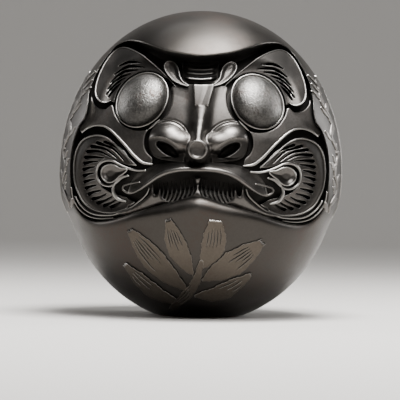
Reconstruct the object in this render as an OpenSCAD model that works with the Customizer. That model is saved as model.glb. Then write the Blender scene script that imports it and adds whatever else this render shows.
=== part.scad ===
// Daruma doll: a heavy, hollow metal roly-poly figure with a relief face built from inlaid pieces.
// Origin at the middle of the underside, +Z up, the face looks along -Y, +X is at the viewer's right.

/* [Body] */
// Width and depth of the egg at its widest level
body_w = 160; // [156:1:192]
// Height of the widest level above the table
equator_z = 81; // [76:1:81]
// Height of the crown above the widest level
crown_h = 92; // [77:1:110]
// Fullness of the crown: 2 is an ellipse, more is squarer
crown_fullness = 2.05; // [2:0.01:2.2]
// Radius of the belly's own curve, which starts below the jaw
belly_r = 77.5; // [74:0.5:80]
// Half height of the belly's curve, more than the widest level's height
belly_h = 85; // [85:0.5:92]
// Drop from the widest level to where the jaw starts to step in
jaw_drop = 14; // [8:1:20]
// Height over which the jaw steps in to the belly
jaw_blend = 18; // [10:1:24]
// Thickness of the shell
wall = 4; // [3:0.5:5]

/* [Face recess] */
// Depth of the recess at its middle
face_depth = 15; // [13:0.5:17]
// Half width at which the recess runs out on the body
face_runout = 76; // [74:0.5:78]
// Height of the recess's deepest point above the widest level
face_rise = 2; // [0:0.5:4]
// Thickness of the panel that carries the relief
panel_t = 3; // [2.5:0.25:4]
// Thickness of the ledge that the panel rests on
ledge_t = 3; // [2:0.5:4]
// Width of that ledge
ledge_w = 8; // [6:0.5:10]
// Thickness of the wall round the recess
skirt_t = 3; // [2:0.5:4]
// Gap all round between the panel and the recess
panel_gap = 0.3; // [0.1:0.05:0.6]
// Least gap between neighbouring relief pieces
piece_gap = 0.4; // [0.2:0.05:0.8]

/* [Relief heights] */
// Brow plates, above the panel
brow_h = 7; // [5:0.5:8]
// Forehead: the plate behind the wrinkles, and the wrinkles
forehead_h = 3; // [2:0.5:5]
// Wrinkle bars of the forehead, above its plate
wrinkle_h = 2.5; // [1:0.5:4]
// Forehead drops
forehead_drop_h = 6; // [4:0.5:8]
// Rings round the eyes
eye_ring_h = 4.5; // [3:0.5:6]
// Cheek plates
cheek_h = 4.5; // [3:0.5:5.5]
// Cheek drops
cheek_drop_h = 6; // [4:0.5:7]
// Cheek ridges
ridge_h = 7; // [5:0.5:8]
// Lip
lip_h = 9; // [6:0.5:10]
// Mouth post and beard combs
beard_h = 4; // [3:0.5:6]
// Jaw ridges
jaw_h = 2.5; // [1.5:0.5:3]
// Raised brush strokes on the belly and the flanks
emblem_t = 0.8; // [0.5:0.1:1]

/* [Eyes] */
// Radius of an eye in front view
eye_r = 13.5; // [11:0.25:16.5]
// Radius of the ball that the eye's dome is cut from
eye_ball_r = 18; // [18:0.5:24]
// Width of the ring round an eye
eye_ring_w = 1.2; // [1:0.1:3]
// Gap between the eye and its ring
eye_gap = 0.3; // [0.2:0.1:1.5]
// Radius of the spigot behind an eye
eye_spigot_r = 5; // [3:0.5:8]
// Clearance of the spigot in the panel
spigot_clear = 0.1; // [0.05:0.05:0.3]

/* [Cheeks] */
// Number of slots in one cheek plate
cheek_slots = 14; // [8:1:18]
// Width of one slot
cheek_slot_w = 1.5; // [0.8:0.1:1.8]
// Number of slots in one brow plate
brow_slots = 6; // [3:1:8]
// Width of one brow slot
brow_slot_w = 1.4; // [0.8:0.1:1.8]
// Width of a cheek ridge
ridge_w = 3; // [2:0.1:3.4]
// Width of the lip at its middle
lip_w = 3.4; // [2.5:0.1:4]
// Width of the lip at its hooked ends
lip_end_w = 1.4; // [1:0.1:2]
// Number of teeth in one beard comb
beard_teeth = 7; // [4:1:8]
// Width of one tooth
tooth_w = 1.3; // [0.8:0.1:1.6]

/* [Nose] */
// Radius of the button on the tip of the nose
nose_tip_r = 5; // [4:0.25:6]
// Thickness of that button
nose_tip_t = 3; // [2:0.25:4]

/* [Fasteners] */
// Radius of the locating pegs behind the relief pieces
peg_r = 1.5; // [1:0.25:2]
// Clearance of a peg in its bore
peg_clear = 0.05; // [0.03:0.01:0.2]
// Radius of the screws that hold the face panel and the base plate
screw_r = 1.5; // [1.25:0.25:2]
// Radius of a countersunk screw head
screw_head_r = 2.8; // [2.5:0.1:3.2]
// Height of a countersunk screw head
screw_head_h = 1.5; // [1:0.1:1.8]
// Radius of the ballast bolt
bolt_r = 3; // [2.5:0.25:4]
// Radius of the ballast bolt's head
bolt_head_r = 5; // [4.5:0.25:7]
// Height of the ballast bolt's head
bolt_head_h = 3; // [2:0.25:3.5]
// Clearance of a screw or bolt in a plain hole
hole_clear = 0.25; // [0.1:0.05:0.5]

/* [Base] */
// Radius of the felt pad
pad_r = 23; // [21:0.5:24]
// Thickness of the felt pad
pad_t = 1.8; // [1.5:0.1:3]
// How far the pad stands out below the shell
pad_proud = 0.8; // [0.4:0.1:1.2]
// Radius of the base plate
plate_r = 20; // [18:0.5:21]
// Thickness of the base plate
plate_t = 4; // [4:0.5:5]
// Gap round the pad and the base plate
base_gap = 0.3; // [0.1:0.05:0.6]
// Radius on which the base screws sit
base_screw_circle = 15; // [13:0.5:16]
// Thickness of the shell's floor above the base plate
floor_t = 3.2; // [2.5:0.1:5]
// Radius of the hole in that floor
floor_hole_r = 8; // [6:0.5:10]
// Radius of the ballast weight
ballast_r = 30; // [24:1:31]
// Height of the ballast weight
ballast_h = 20; // [14:1:30]
// How far the ballast bolt reaches into the weight
bolt_grip = 13; // [8:1:13]

/* [Hidden] */
$fn = 96;
STEEL = "#5f5e5c";
DARK_STEEL = "#474645";
BRIGHT_STEEL = "#8b8a88";
BRONZE = "#75695f";

body_r = body_w / 2;
// The relief is drawn for this body, and stretches with the real one
DRAWN_W = 160;
DRAWN_CROWN = 92;
stretch = [body_w / DRAWN_W, crown_h / DRAWN_CROWN];
// Levels of the base, from the table up
shell_z0 = pad_proud;
pad_z1 = pad_t;
plate_z1 = pad_z1 + plate_t;
floor_z1 = plate_z1 + floor_t;
EPS = 0.01;
// Longer than any hole is deep
THROUGH = 12;

// The recess's floor is part of a ball that passes through its deepest point and its run-out
runout = face_runout * stretch[0];
ball_sag = (body_r - face_depth) - sqrt(body_r * body_r - runout * runout);
ball_r = (ball_sag * ball_sag + runout * runout) / (2 * ball_sag);
ball_y = ball_r - (body_r - face_depth);
ball_z = equator_z + face_rise;

// ---- curves ----
function unit(v) = v / norm(v);
function left_of(v) = [-v[1], v[0]];
function spline_at(a, b, c, d, t) =
    (2 * b + (c - a) * t + (2 * a - 5 * b + 4 * c - d) * t * t + (3 * b - a - 3 * c + d) * t * t * t) / 2;
function loop_curve(p, n = 3) = let (m = len(p))
    [for (i = [0 : m - 1]) for (k = [0 : n - 1])
        spline_at(p[(i + m - 1) % m], p[i], p[(i + 1) % m], p[(i + 2) % m], k / n)];
function open_curve(p, n = 3) = let (m = len(p) - 1) concat(
    [for (i = [0 : m - 1]) for (k = [0 : n - 1])
        spline_at(p[max(i - 1, 0)], p[i], p[i + 1], p[min(i + 2, m)], k / n)], [p[m]]);
function area2(p, i = 0) = i >= len(p) ? 0 :
    let (a = p[i], b = p[(i + 1) % len(p)]) a[0] * b[1] - a[1] * b[0] + area2(p, i + 1);
// A closed outline moved outward by d
function grown(p, d) = let (m = len(p), s = area2(p) > 0 ? -d : d)
    [for (i = [0 : m - 1]) p[i] + s * left_of(unit(p[(i + 1) % m] - p[(i + m - 1) % m]))];
// A ribbon along an open line, whose width goes from w0 over w1 at the middle to w2
function ribbon(p, w0, w1, w2) = let (m = len(p) - 1,
    side = [for (i = [0 : m]) let (s = 2 * i / m - 1, w = w1 + (s < 0 ? w0 - w1 : w2 - w1) * s * s)
        left_of(unit(p[min(i + 1, m)] - p[max(i - 1, 0)])) * w / 2])
    concat([for (i = [0 : m]) p[i] + side[i]], [for (i = [m : -1 : 0]) p[i] - side[i]]);
// Drawn points (x, height above the widest level) to the real body's front view
function placed(p) = [for (q = p) [q[0] * stretch[0], equator_z + q[1] * stretch[1]]];
function mirrored(p) = [for (q = p) [-q[0], q[1]]];
function reversed(p) = [for (i = [len(p) - 1 : -1 : 0]) p[i]];
function both_halves(p) = concat(p, reversed([for (i = [1 : len(p) - 2]) [-p[i][0], p[i][1]]]));

// ---- the relief, as drawn ----
// Right half of the recess's edge: hood, side and collar, from the middle of the hood down
opening_half = [[0, 63], [10, 64], [19, 65.8], [28, 69.2], [36, 72], [42, 72.6], [47, 70.8], [51.5, 66.3],
    [56, 59.5], [60, 51], [62, 43], [62.5, 35], [63.5, 29], [67, 24], [70, 16], [71.5, 6], [71.5, -4],
    [70.5, -13], [67.5, -20.5], [63, -25.5], [57, -28], [50, -27.8], [42, -25.8], [34, -23], [24, -20],
    [13, -16.8], [5, -14.2], [0, -13.4]];
opening = loop_curve(placed(both_halves(opening_half)), 2);
brow_line = [[17.3, 50.5], [24, 56.5], [31.5, 62.5], [38, 66.5], [43, 68.2], [47, 66.8], [51, 62.5], [55, 56],
    [58, 48.5], [58.6, 42], [56, 37.5], [51.5, 36.5], [45, 40], [34, 48], [24, 50]];
forehead_line = [[-8, 47.5], [0, 46.5], [8, 47.5], [9, 52], [9, 57.5], [6, 60.5], [0, 61.3], [-6, 60.5],
    [-9, 57.5], [-9, 52]];
forehead_drop_line = [[20, 58], [17.5, 60.8], [13.8, 59.4], [11.4, 55], [10.3, 50], [8, 45.2], [12, 48],
    [15.5, 51.3], [18.8, 54.4]];
ridge_line = [[25, 3.2], [30.5, 4.5], [35, 8.2], [39, 12.7], [43, 16.9], [47.7, 21.3], [52, 23.7], [57, 24],
    [61.5, 22.6], [64.5, 20]];
cheek_outer = [[35, 3], [40.5, 8.5], [46.5, 14.5], [51, 17.5], [56, 18.8], [61.5, 17.8], [66, 15], [68.8, 10],
    [70, 4], [70.3, -2], [69.3, -8], [67, -13], [63, -18], [58, -21.3], [52, -23], [45, -22.8], [38, -20]];
cheek_inner = [[42, -16.5], [48.5, -15], [53, -10], [56.5, -4], [56.8, 1], [54.5, 5], [50.5, 6.2], [45, 5.4],
    [40, 3.4]];
cheek_drop_line = [[28, 0.5], [37, 0.8], [42.5, 2.2], [46.3, 3.6], [50.2, 4], [53.3, 2.6], [54.8, -0.4],
    [54.4, -4.6], [51.8, -7.2], [48.2, -7.8], [44.8, -6.4], [42, -4.2], [37, -2.2], [30, -1]];
lip_line = [[0, 1], [9, 0.8], [16, -0.7], [21, -3], [26, -6.5], [31, -10], [35, -12], [38, -12.2],
    [40.5, -10.6], [40.4, -8.6], [38, -7.6], [34.5, -6.8], [31, -6.2]];
jaw_line = [[24.5, -9], [27, -12.8], [31, -16.8], [37, -21.2], [45, -24.9], [54, -25.3], [60, -23.7],
    [65, -20], [68.3, -15.3]];
post_line = [[-3.2, -2.5], [3.2, -2.5], [1.4, -7], [2.6, -12.3], [-2.6, -12.3], [-1.4, -7]];
// Ellipses on which the outer and inner ends of the cheek slots lie
slot_centre = [47, -2.5];
slot_outer = [16.2, 17.5];
slot_inner = [6, 6];
slot_first = 66;
slot_last = -88;
function slot_end(a, radii) = slot_centre + [radii[0] * cos(a), radii[1] * sin(a)];
// The brow slots sweep from the lobe in to the eye's ring
brow_slot_centre = [32, 39];
brow_slot_first = 84;
brow_slot_last = 8;
brow_slot_reach = [20.5, 21];
eye_at = [31.5, 38.6];
wrinkles = [[-7.5, 50], [-8, 54], [-7, 58]];
comb_top = -5.5;
comb_foot = -12.6;
comb_first = 4.6;
comb_pitch = 2.45;
comb_lean = 1.4;
nose_at = 11.4;

// Pegs: right-hand side places of the pieces' pegs, as drawn
brow_pegs = [[38, 62], [55, 45]];
cheek_pegs = [[63, 11], [61, -17]];
drop_peg = [48.5, -1.5];
forehead_drop_peg = [16, 56.5];
ridge_pegs = [[34.5, 7.8], [57, 24]];
lip_pegs = [[0, 1], [21, -3]];
jaw_pegs = [[40.5, -23.3], [54, -25.3]];
comb_peg = [11, -6];
forehead_peg = [0, 54];
nose_pegs = [[0, 30], [18, 15]];
post_peg = [0, -4.3];
side_pegs = concat(brow_pegs, cheek_pegs, ridge_pegs, jaw_pegs,
    [drop_peg, forehead_drop_peg, lip_pegs[1], comb_peg, nose_pegs[1]]);
middle_pegs = [lip_pegs[0], forehead_peg, nose_pegs[0], post_peg];
// Screws of the face panel lie on the ledge, under the brow and cheek plates
panel_screws = [[43.5, 65.5], [66.8, 3]];

// Leafy sprig of brush strokes on the belly: [first, through, last, width at start, middle, end]
belly_strokes = [
    [[3, -50], [-3, -65], [-15, -76], 3, 5.5, 2],
    [[-6, -64], [-21, -51], [-36, -36], 3, 11, 4],
    [[-1, -55], [-9, -42], [-16, -28], 3, 10.5, 4],
    [[-13, -71], [-26, -63], [-38, -51], 2, 8, 3],
    [[3, -52], [8, -40], [9, -27], 4, 11.5, 7],
    [[4, -57], [20, -49], [34, -41], 3, 12.5, 4],
    [[1, -66], [13, -62], [25, -56], 2, 8, 3]];
belly_pegs = [[-21, -51], [20, -49]];
// Scroll strokes of a flank, drawn as (y, height above the widest level)
flank_strokes = [
    [[-20, 52], [-31, 40], [-29, 26], 1.5, 3.4, 2],
    [[-29, 42], [-22, 38], [-20, 28], 1.5, 3, 1.5],
    [[-29, 28], [-21, 20], [-24, 8], 2, 3.4, 2],
    [[-21, 27], [-15, 20], [-16, 10], 1.5, 2.6, 1.5],
    [[-24, 10], [-17, 2], [-21, -10], 2, 3.4, 1.5]];
flank_pegs = [[-30, 36], [-18, 2]];

// ---- solids that several pieces share ----
function step01(t) = let (u = max(0, min(1, t))) u * u * (3 - 2 * u);
function crown_radius(s, d) =
    (body_r + d) * pow(max(0, 1 - pow(s, crown_fullness)), 1 / crown_fullness);
function belly_radius(drop, d) = let (k = step01((drop - jaw_drop) / jaw_blend))
    (body_r + d - k * (body_r - belly_r)) * sqrt(max(0, 1 - pow(drop / (belly_h + d), 2)));
// The egg, moved outward by d and cut flat at height z0
module egg(d, z0) {
    low = asin((equator_z - z0) / (belly_h + d));
    rotate_extrude() polygon(concat([[0, z0]],
        [for (i = [10 : -1 : 0]) let (drop = (belly_h + d) * sin(low * i / 10))
            [belly_radius(drop, d), equator_z - drop]],
        [for (a = [5 : 5 : 85]) [crown_radius(sin(a), d), equator_z + (crown_h + d) * sin(a)]],
        [[0, equator_z + crown_h + d]]));
}
// A front-view outline as a bar that runs from the body's mid plane forward
module bar(outline) rotate([90, 0, 0]) linear_extrude(body_r + 1) polygon(outline);
module ball(lift) translate([0, ball_y, ball_z]) sphere(ball_r + lift, $fn = 128);
// What lies between the panel's front and a height h above it
module layer(h) difference() {
    ball(h);
    ball(0);
}
// Puts children on the panel at a drawn place, their +Z straight out of it
module on_face(p) {
    q = placed([p])[0];
    d = [q[0], -sqrt(ball_r * ball_r - q[0] * q[0] - pow(q[1] - ball_z, 2)), q[1] - ball_z];
    translate([0, ball_y, ball_z]) rotate([0, acos(d[2] / ball_r), atan2(d[1], d[0])])
        translate([0, 0, ball_r]) children();
}
module peg(p) on_face(p) translate([0, 0, -panel_t]) cylinder(h = panel_t + 1, r = peg_r, $fn = 24);
module peg_bore(p) on_face(p) translate([0, 0, -THROUGH / 2])
    cylinder(h = THROUGH, r = peg_r + peg_clear, $fn = 24);
module both_sides() {
    children();
    mirror([1, 0, 0]) children();
}
module left_side() mirror([1, 0, 0]) children();
module countersunk(clear, length) {
    translate([0, 0, -length]) cylinder(h = length, r = screw_r + clear, $fn = 24);
    translate([0, 0, -screw_head_h]) cylinder(h = screw_head_h, r1 = screw_r + clear,
        r2 = screw_head_r + clear, $fn = 24);
}

// ---- shell, the frame brazed behind its opening, and the panel ----
module shell() color(STEEL) difference() {
    difference() {
        egg(0, shell_z0);
        egg(-wall, floor_z1);
    }
    bar(opening);
    translate([0, 0, -EPS]) cylinder(h = pad_z1 + EPS, r = pad_r + base_gap);
    cylinder(h = plate_z1, r = plate_r + base_gap);
    cylinder(h = floor_z1 + 1, r = floor_hole_r);
    for (a = [0 : 120 : 240]) rotate([0, 0, a]) translate([base_screw_circle, 0, 0])
        cylinder(h = floor_z1 + 1, r = screw_r, $fn = 24);
    for (p = belly_pegs) stroke_peg(p, peg_clear);
    both_sides() for (p = flank_pegs) flank_peg(p, peg_clear);
}
module face_frame() color(DARK_STEEL) difference() {
    intersection() {
        egg(-wall, floor_z1);
        bar(grown(opening, skirt_t));
    }
    ball(-panel_t - ledge_t);
    bar(grown(opening, -ledge_w));
    difference() {
        bar(opening);
        ball(-panel_t);
    }
    for (p = panel_screws) both_sides() on_face(p) translate([0, 0, -THROUGH])
        cylinder(h = THROUGH, r = screw_r, $fn = 24);
}
module face_panel() color(DARK_STEEL) difference() {
    intersection() {
        bar(grown(opening, -panel_gap));
        difference() {
            ball(0);
            ball(-panel_t);
        }
    }
    for (p = side_pegs) both_sides() peg_bore(p);
    for (p = middle_pegs) peg_bore(p);
    both_sides() on_face(eye_at) translate([0, 0, -THROUGH / 2])
        cylinder(h = THROUGH, r = eye_spigot_r + spigot_clear);
    for (p = panel_screws) both_sides() on_face(p) countersunk(hole_clear, THROUGH);
}
module face_panel_screws() color(BRIGHT_STEEL)
    for (p = panel_screws) both_sides() on_face(p) countersunk(0, panel_t + ledge_t);

// ---- relief pieces of the face ----
module eye_clearing() on_face(eye_at)
    translate([0, 0, -THROUGH]) cylinder(h = 3 * THROUGH, r = eye_r + eye_gap + eye_ring_w + piece_gap);
module brow_plate_right() color(STEEL) {
    intersection() {
        difference() {
            bar(loop_curve(placed(brow_line)));
            bar(grown(loop_curve(placed(forehead_drop_line)), piece_gap));
            eye_clearing();
            for (i = [0 : brow_slots - 1]) let (
                a = brow_slot_first + (brow_slot_last - brow_slot_first) * i / (brow_slots - 1),
                reach = [brow_slot_reach[0] * cos(a), brow_slot_reach[1] * sin(a)],
                line = [brow_slot_centre + 0.7 * reach, brow_slot_centre + 1.04 * reach])
                bar(ribbon(placed(line), brow_slot_w, brow_slot_w, brow_slot_w));
        }
        layer(brow_h);
    }
    for (p = brow_pegs) peg(p);
}
module forehead_bar() color(STEEL) {
    intersection() {
        bar(placed(forehead_line));
        layer(forehead_h);
    }
    intersection() {
        union() for (w = wrinkles)
            bar(ribbon(placed(open_curve([w, [0, w[1] - 1.2], [-w[0], w[1]]])), 1, 2, 1));
        layer(forehead_h + wrinkle_h);
    }
    peg(forehead_peg);
}
module forehead_drop_right() color(STEEL) {
    intersection() {
        bar(loop_curve(placed(forehead_drop_line)));
        difference() {
            layer(forehead_drop_h);
            bar(grown(placed(forehead_line), piece_gap));
        }
    }
    peg(forehead_drop_peg);
}
// The eye is a cap of a ball on a spigot
module eye_right() color(BRONZE) on_face(eye_at) {
    sink = sqrt(eye_ball_r * eye_ball_r - eye_r * eye_r);
    rim_t = 2;
    intersection() {
        translate([0, 0, rim_t - sink]) sphere(eye_ball_r);
        cylinder(h = eye_ball_r, r = eye_r);
    }
    translate([0, 0, -panel_t]) cylinder(h = panel_t + 1, r = eye_spigot_r);
}
module eye_ring_right() color(BRIGHT_STEEL) difference() {
    on_face(eye_at) rotate_extrude() let (r0 = eye_r + eye_gap, r1 = r0 + eye_ring_w)
        polygon([[r0, -1], [r1, -1], [r1, eye_ring_h - 0.4], [r1 - 0.4, eye_ring_h], [r0 + 0.3, eye_ring_h],
            [r0, eye_ring_h - 0.3]]);
    ball(0);
}
module nose() color(STEEL) {
    difference() {
        union() {
            hull() {
                nose_ball([0, 44], 1, 4.5);
                nose_ball([0, 16], 4, 6);
            }
            both_sides() hull() {
                nose_ball([12, 17], 1, 7.5);
                nose_ball([20.5, 12], 0, 5.5);
            }
            nose_ball([0, nose_at], 4, 9);
        }
        ball(0);
        nose_seat(0) cylinder(h = THROUGH, r = nose_tip_r + peg_clear);
        nose_seat(-THROUGH / 2) cylinder(h = THROUGH, r = peg_r + peg_clear, $fn = 24);
    }
    peg(nose_pegs[0]);
    both_sides() peg(nose_pegs[1]);
}
module nose_ball(p, lift, r) on_face(p) translate([0, 0, lift]) sphere(r, $fn = 32);
// The seat of the button on the nose, its +Z out of the face and lying along -Y
module nose_seat(z) translate([0, -(body_r - nose_tip_t), equator_z + nose_at * stretch[1]])
    rotate([90, 0, 0]) translate([0, 0, z]) children();
module nose_tip() color(BRIGHT_STEEL) {
    nose_seat(0) rotate_extrude() polygon([[0, 0], [nose_tip_r, 0], [nose_tip_r, nose_tip_t - 0.8],
        [nose_tip_r - 0.6, nose_tip_t], [nose_tip_r - 1.4, nose_tip_t], [nose_tip_r - 1.8, nose_tip_t - 0.7],
        [0, nose_tip_t - 0.3]]);
    nose_seat(-THROUGH / 2 + 1) cylinder(h = THROUGH / 2 - 1 + EPS, r = peg_r, $fn = 24);
}
module cheek_plate_right() color(STEEL) {
    intersection() {
        difference() {
            bar(loop_curve(placed(concat(cheek_outer, cheek_inner))));
            bar(grown(loop_curve(placed(cheek_drop_line)), piece_gap));
            bar(ribbon(placed(open_curve(ridge_line)), ridge_w + 2 * piece_gap, ridge_w + 2 * piece_gap,
                ridge_w + 2 * piece_gap));
            bar(ribbon(placed(open_curve(jaw_line)), 2, 2 + 2 * piece_gap, 2 + 2 * piece_gap));
            for (i = [0 : cheek_slots - 1]) let (
                a = slot_first + (slot_last - slot_first) * i / (cheek_slots - 1))
                bar(ribbon(placed([slot_end(a, slot_inner), slot_end(a, slot_outer)]),
                    cheek_slot_w, cheek_slot_w, cheek_slot_w));
        }
        layer(cheek_h);
    }
    for (p = cheek_pegs) peg(p);
}
module cheek_drop_right() color(BRIGHT_STEEL) {
    intersection() {
        bar(loop_curve(placed(cheek_drop_line), 2));
        layer(cheek_drop_h);
    }
    peg(drop_peg);
}
module cheek_ridge_right() color(BRIGHT_STEEL) {
    intersection() {
        bar(ribbon(placed(open_curve(ridge_line)), 1.6, ridge_w, 1.6));
        layer(ridge_h);
    }
    for (p = ridge_pegs) peg(p);
}
module lip_band() color(BRIGHT_STEEL) {
    half = [for (i = [1 : len(lip_line) - 1]) lip_line[i]];
    intersection() {
        bar(ribbon(placed(open_curve(concat(reversed(mirrored(half)), lip_line))),
            lip_end_w, lip_w, lip_end_w));
        layer(lip_h);
    }
    peg(lip_pegs[0]);
    both_sides() peg(lip_pegs[1]);
}
module mouth_post() color(STEEL) {
    intersection() {
        bar(placed(post_line));
        layer(beard_h);
    }
    peg(post_peg);
}
module beard_comb_right() color(STEEL) {
    intersection() {
        union() {
            bar(ribbon(placed([[comb_first - 0.7, comb_top],
                [comb_first + (beard_teeth - 1) * comb_pitch + 0.7, comb_top - 1]]), 2, 2, 2));
            for (i = [0 : beard_teeth - 1]) let (x = comb_first + i * comb_pitch,
                tip = [x + comb_lean, comb_foot - 0.35 * i])
                bar(ribbon(placed(open_curve([[x, comb_top], [x - 0.5, (comb_top + comb_foot) / 2], tip])),
                    tooth_w, tooth_w, tooth_w));
        }
        layer(beard_h);
    }
    peg(comb_peg);
}
module jaw_ridge_right() color(BRIGHT_STEEL) {
    intersection() {
        bar(ribbon(placed(open_curve(jaw_line)), 4, 2, 1));
        layer(jaw_h);
    }
    for (p = jaw_pegs) peg(p);
}

// ---- raised brush strokes on the shell ----
function stroke(s) = ribbon(open_curve(placed([s[0], s[1], s[2]]), 5), s[3], s[4], s[5]);
module stroke_peg(p, clear) translate([p[0] * stretch[0], 0, equator_z + p[1] * stretch[1]])
    rotate([90, 0, 0]) cylinder(h = body_r, r = peg_r + clear, $fn = 24);
module belly_emblem() color(BRONZE) {
    difference() {
        intersection() {
            union() for (s = belly_strokes) bar(stroke(s));
            egg(emblem_t, shell_z0);
        }
        egg(0, shell_z0 - 1);
    }
    intersection() {
        for (p = belly_pegs) stroke_peg(p, 0);
        egg(EPS, shell_z0);
        difference() {
            bar([[-body_r, 0], [body_r, 0], [body_r, 2 * body_r], [-body_r, 2 * body_r]]);
            egg(-wall, floor_z1);
        }
    }
}
module flank_peg(p, clear) translate([0, p[0] * stretch[0], equator_z + p[1] * stretch[1]])
    rotate([0, 90, 0]) cylinder(h = body_r, r = peg_r + clear, $fn = 24);
module flank_emblem_right() color(STEEL) {
    difference() {
        intersection() {
            union() for (s = flank_strokes)
                rotate([90, 0, 90]) linear_extrude(body_r + 1) polygon(stroke(s));
            egg(emblem_t, shell_z0);
        }
        egg(0, shell_z0 - 1);
    }
    intersection() {
        for (p = flank_pegs) flank_peg(p, 0);
        egg(EPS, shell_z0);
        difference() {
            translate([0, -body_r, 0]) cube([body_r + 1, body_r, 2 * body_r]);
            egg(-wall, floor_z1);
        }
    }
}

// ---- base and ballast ----
module foot_pad() color("#4a3128") cylinder(h = pad_z1, r = pad_r);
module base_plate() color(DARK_STEEL) difference() {
    translate([0, 0, pad_z1]) cylinder(h = plate_t, r = plate_r);
    translate([0, 0, pad_z1 - EPS]) cylinder(h = bolt_head_h + EPS, r = bolt_head_r + hole_clear);
    cylinder(h = plate_z1 + 1, r = bolt_r + hole_clear, $fn = 32);
    base_screw_places() countersunk(hole_clear, THROUGH);
}
module base_screw_places() for (a = [0 : 120 : 240]) rotate([0, 0, a])
    translate([base_screw_circle, 0, pad_z1]) rotate([180, 0, 0]) children();
module base_screws() color(BRIGHT_STEEL) base_screw_places() countersunk(0, plate_t + floor_t);
module ballast() color("#3a3a3a") difference() {
    translate([0, 0, floor_z1]) rotate_extrude() polygon([[0, 0], [ballast_r - 3, 0],
        [ballast_r, 4], [ballast_r, ballast_h - 3], [ballast_r - 3, ballast_h], [0, ballast_h]]);
    translate([0, 0, floor_z1 - EPS]) cylinder(h = bolt_grip + 2, r = bolt_r + peg_clear, $fn = 32);
}
module ballast_bolt() color(BRIGHT_STEEL) {
    translate([0, 0, pad_z1]) cylinder(h = bolt_head_h, r = bolt_head_r, $fn = 48);
    translate([0, 0, pad_z1]) cylinder(h = floor_z1 + bolt_grip - pad_z1, r = bolt_r, $fn = 32);
}

shell();
face_frame();
face_panel();
face_panel_screws();
left_side() brow_plate_right();  // brow_plate_left
brow_plate_right();
forehead_bar();
left_side() forehead_drop_right();  // forehead_drop_left
forehead_drop_right();
nose();
nose_tip();
left_side() eye_right();  // eye_left
eye_right();
left_side() eye_ring_right();  // eye_ring_left
eye_ring_right();
left_side() cheek_plate_right();  // cheek_plate_left
cheek_plate_right();
left_side() cheek_drop_right();  // cheek_drop_left
cheek_drop_right();
left_side() cheek_ridge_right();  // cheek_ridge_left
cheek_ridge_right();
lip_band();
mouth_post();
left_side() beard_comb_right();  // beard_comb_left
beard_comb_right();
left_side() jaw_ridge_right();  // jaw_ridge_left
jaw_ridge_right();
belly_emblem();
left_side() flank_emblem_right();  // flank_emblem_left
flank_emblem_right();
base_plate();
base_screws();
ballast();
ballast_bolt();
foot_pad();
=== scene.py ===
"""Daruma doll in blackened steel: the finished surfaces over the packed model, and a plain stage."""

import math

import bpy
import numpy as np
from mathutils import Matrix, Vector
from mathutils.geometry import delaunay_2d_cdt


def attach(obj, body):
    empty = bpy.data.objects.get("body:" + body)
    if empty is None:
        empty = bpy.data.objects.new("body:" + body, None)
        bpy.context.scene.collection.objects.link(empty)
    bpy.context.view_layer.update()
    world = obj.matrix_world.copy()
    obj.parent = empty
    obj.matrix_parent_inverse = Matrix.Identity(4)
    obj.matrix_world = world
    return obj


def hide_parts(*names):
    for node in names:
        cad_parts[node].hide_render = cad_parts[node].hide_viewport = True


bl_info = {
    "name": "Daruma doll",
    "version": (1, 0, 0),
    "blender": (4, 5, 0),
    "location": "View3D > Sidebar > Daruma",
    "description": "Builds the relief, shell and stage of a steel daruma doll",
    "category": "Add Mesh",
}

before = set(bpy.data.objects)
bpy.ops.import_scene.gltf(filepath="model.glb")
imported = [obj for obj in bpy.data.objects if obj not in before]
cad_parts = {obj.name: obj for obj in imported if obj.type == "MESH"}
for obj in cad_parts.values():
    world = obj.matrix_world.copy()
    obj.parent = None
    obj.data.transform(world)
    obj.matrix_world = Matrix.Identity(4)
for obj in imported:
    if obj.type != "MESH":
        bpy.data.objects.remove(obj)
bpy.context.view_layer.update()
ROOT = "root"
MM = 0.001

# ---------------------------------------------------------------- body and recess, in millimetres
# Upper and lower halves of the egg meet at its widest level; heights on the face are counted from there.
BODY_R = 80.0
EQUATOR = 81.0
CROWN = 92.0
CROWN_FULLNESS = 2.05
BELLY_R = 77.5
BELLY_H = 85.0
JAW_DROP, JAW_BLEND = 14.0, 18.0
WALL = 4.0
SHELL_FOOT = 0.8
FLOOR_TOP = 9.0
# Radius and top of each step of the hole in the bottom
BASE_STEPS = ((23.3, 1.8), (20.3, 5.8), (8.0, FLOOR_TOP))
# The recess's floor is a ball
FACE_DEPTH, RUNOUT, FACE_RISE = 15.0, 76.0, 2.0
SAG = (BODY_R - FACE_DEPTH) - math.sqrt(BODY_R**2 - RUNOUT**2)
BALL_R = (SAG**2 + RUNOUT**2) / (2 * SAG)
BALL_Y = BALL_R - (BODY_R - FACE_DEPTH)
BALL_V = FACE_RISE

# ---------------------------------------------------------------- outlines of the face: (x, height)
OPENING_HALF = [(0, 63), (10, 64), (19, 65.8), (28, 69.2), (36, 72), (42, 72.6), (47, 70.8), (51.5, 66.3),
                (56, 59.5), (60, 51), (62, 43), (62.5, 35), (63.5, 29), (67, 24), (70, 16), (71.5, 6),
                (71.5, -4), (70.5, -13), (67.5, -20.5), (63, -25.5), (57, -28), (50, -27.8), (42, -25.8),
                (34, -23), (24, -20), (13, -16.8), (5, -14.2), (0, -13.4)]
EYE_AT = (31.5, 38.6)
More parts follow.
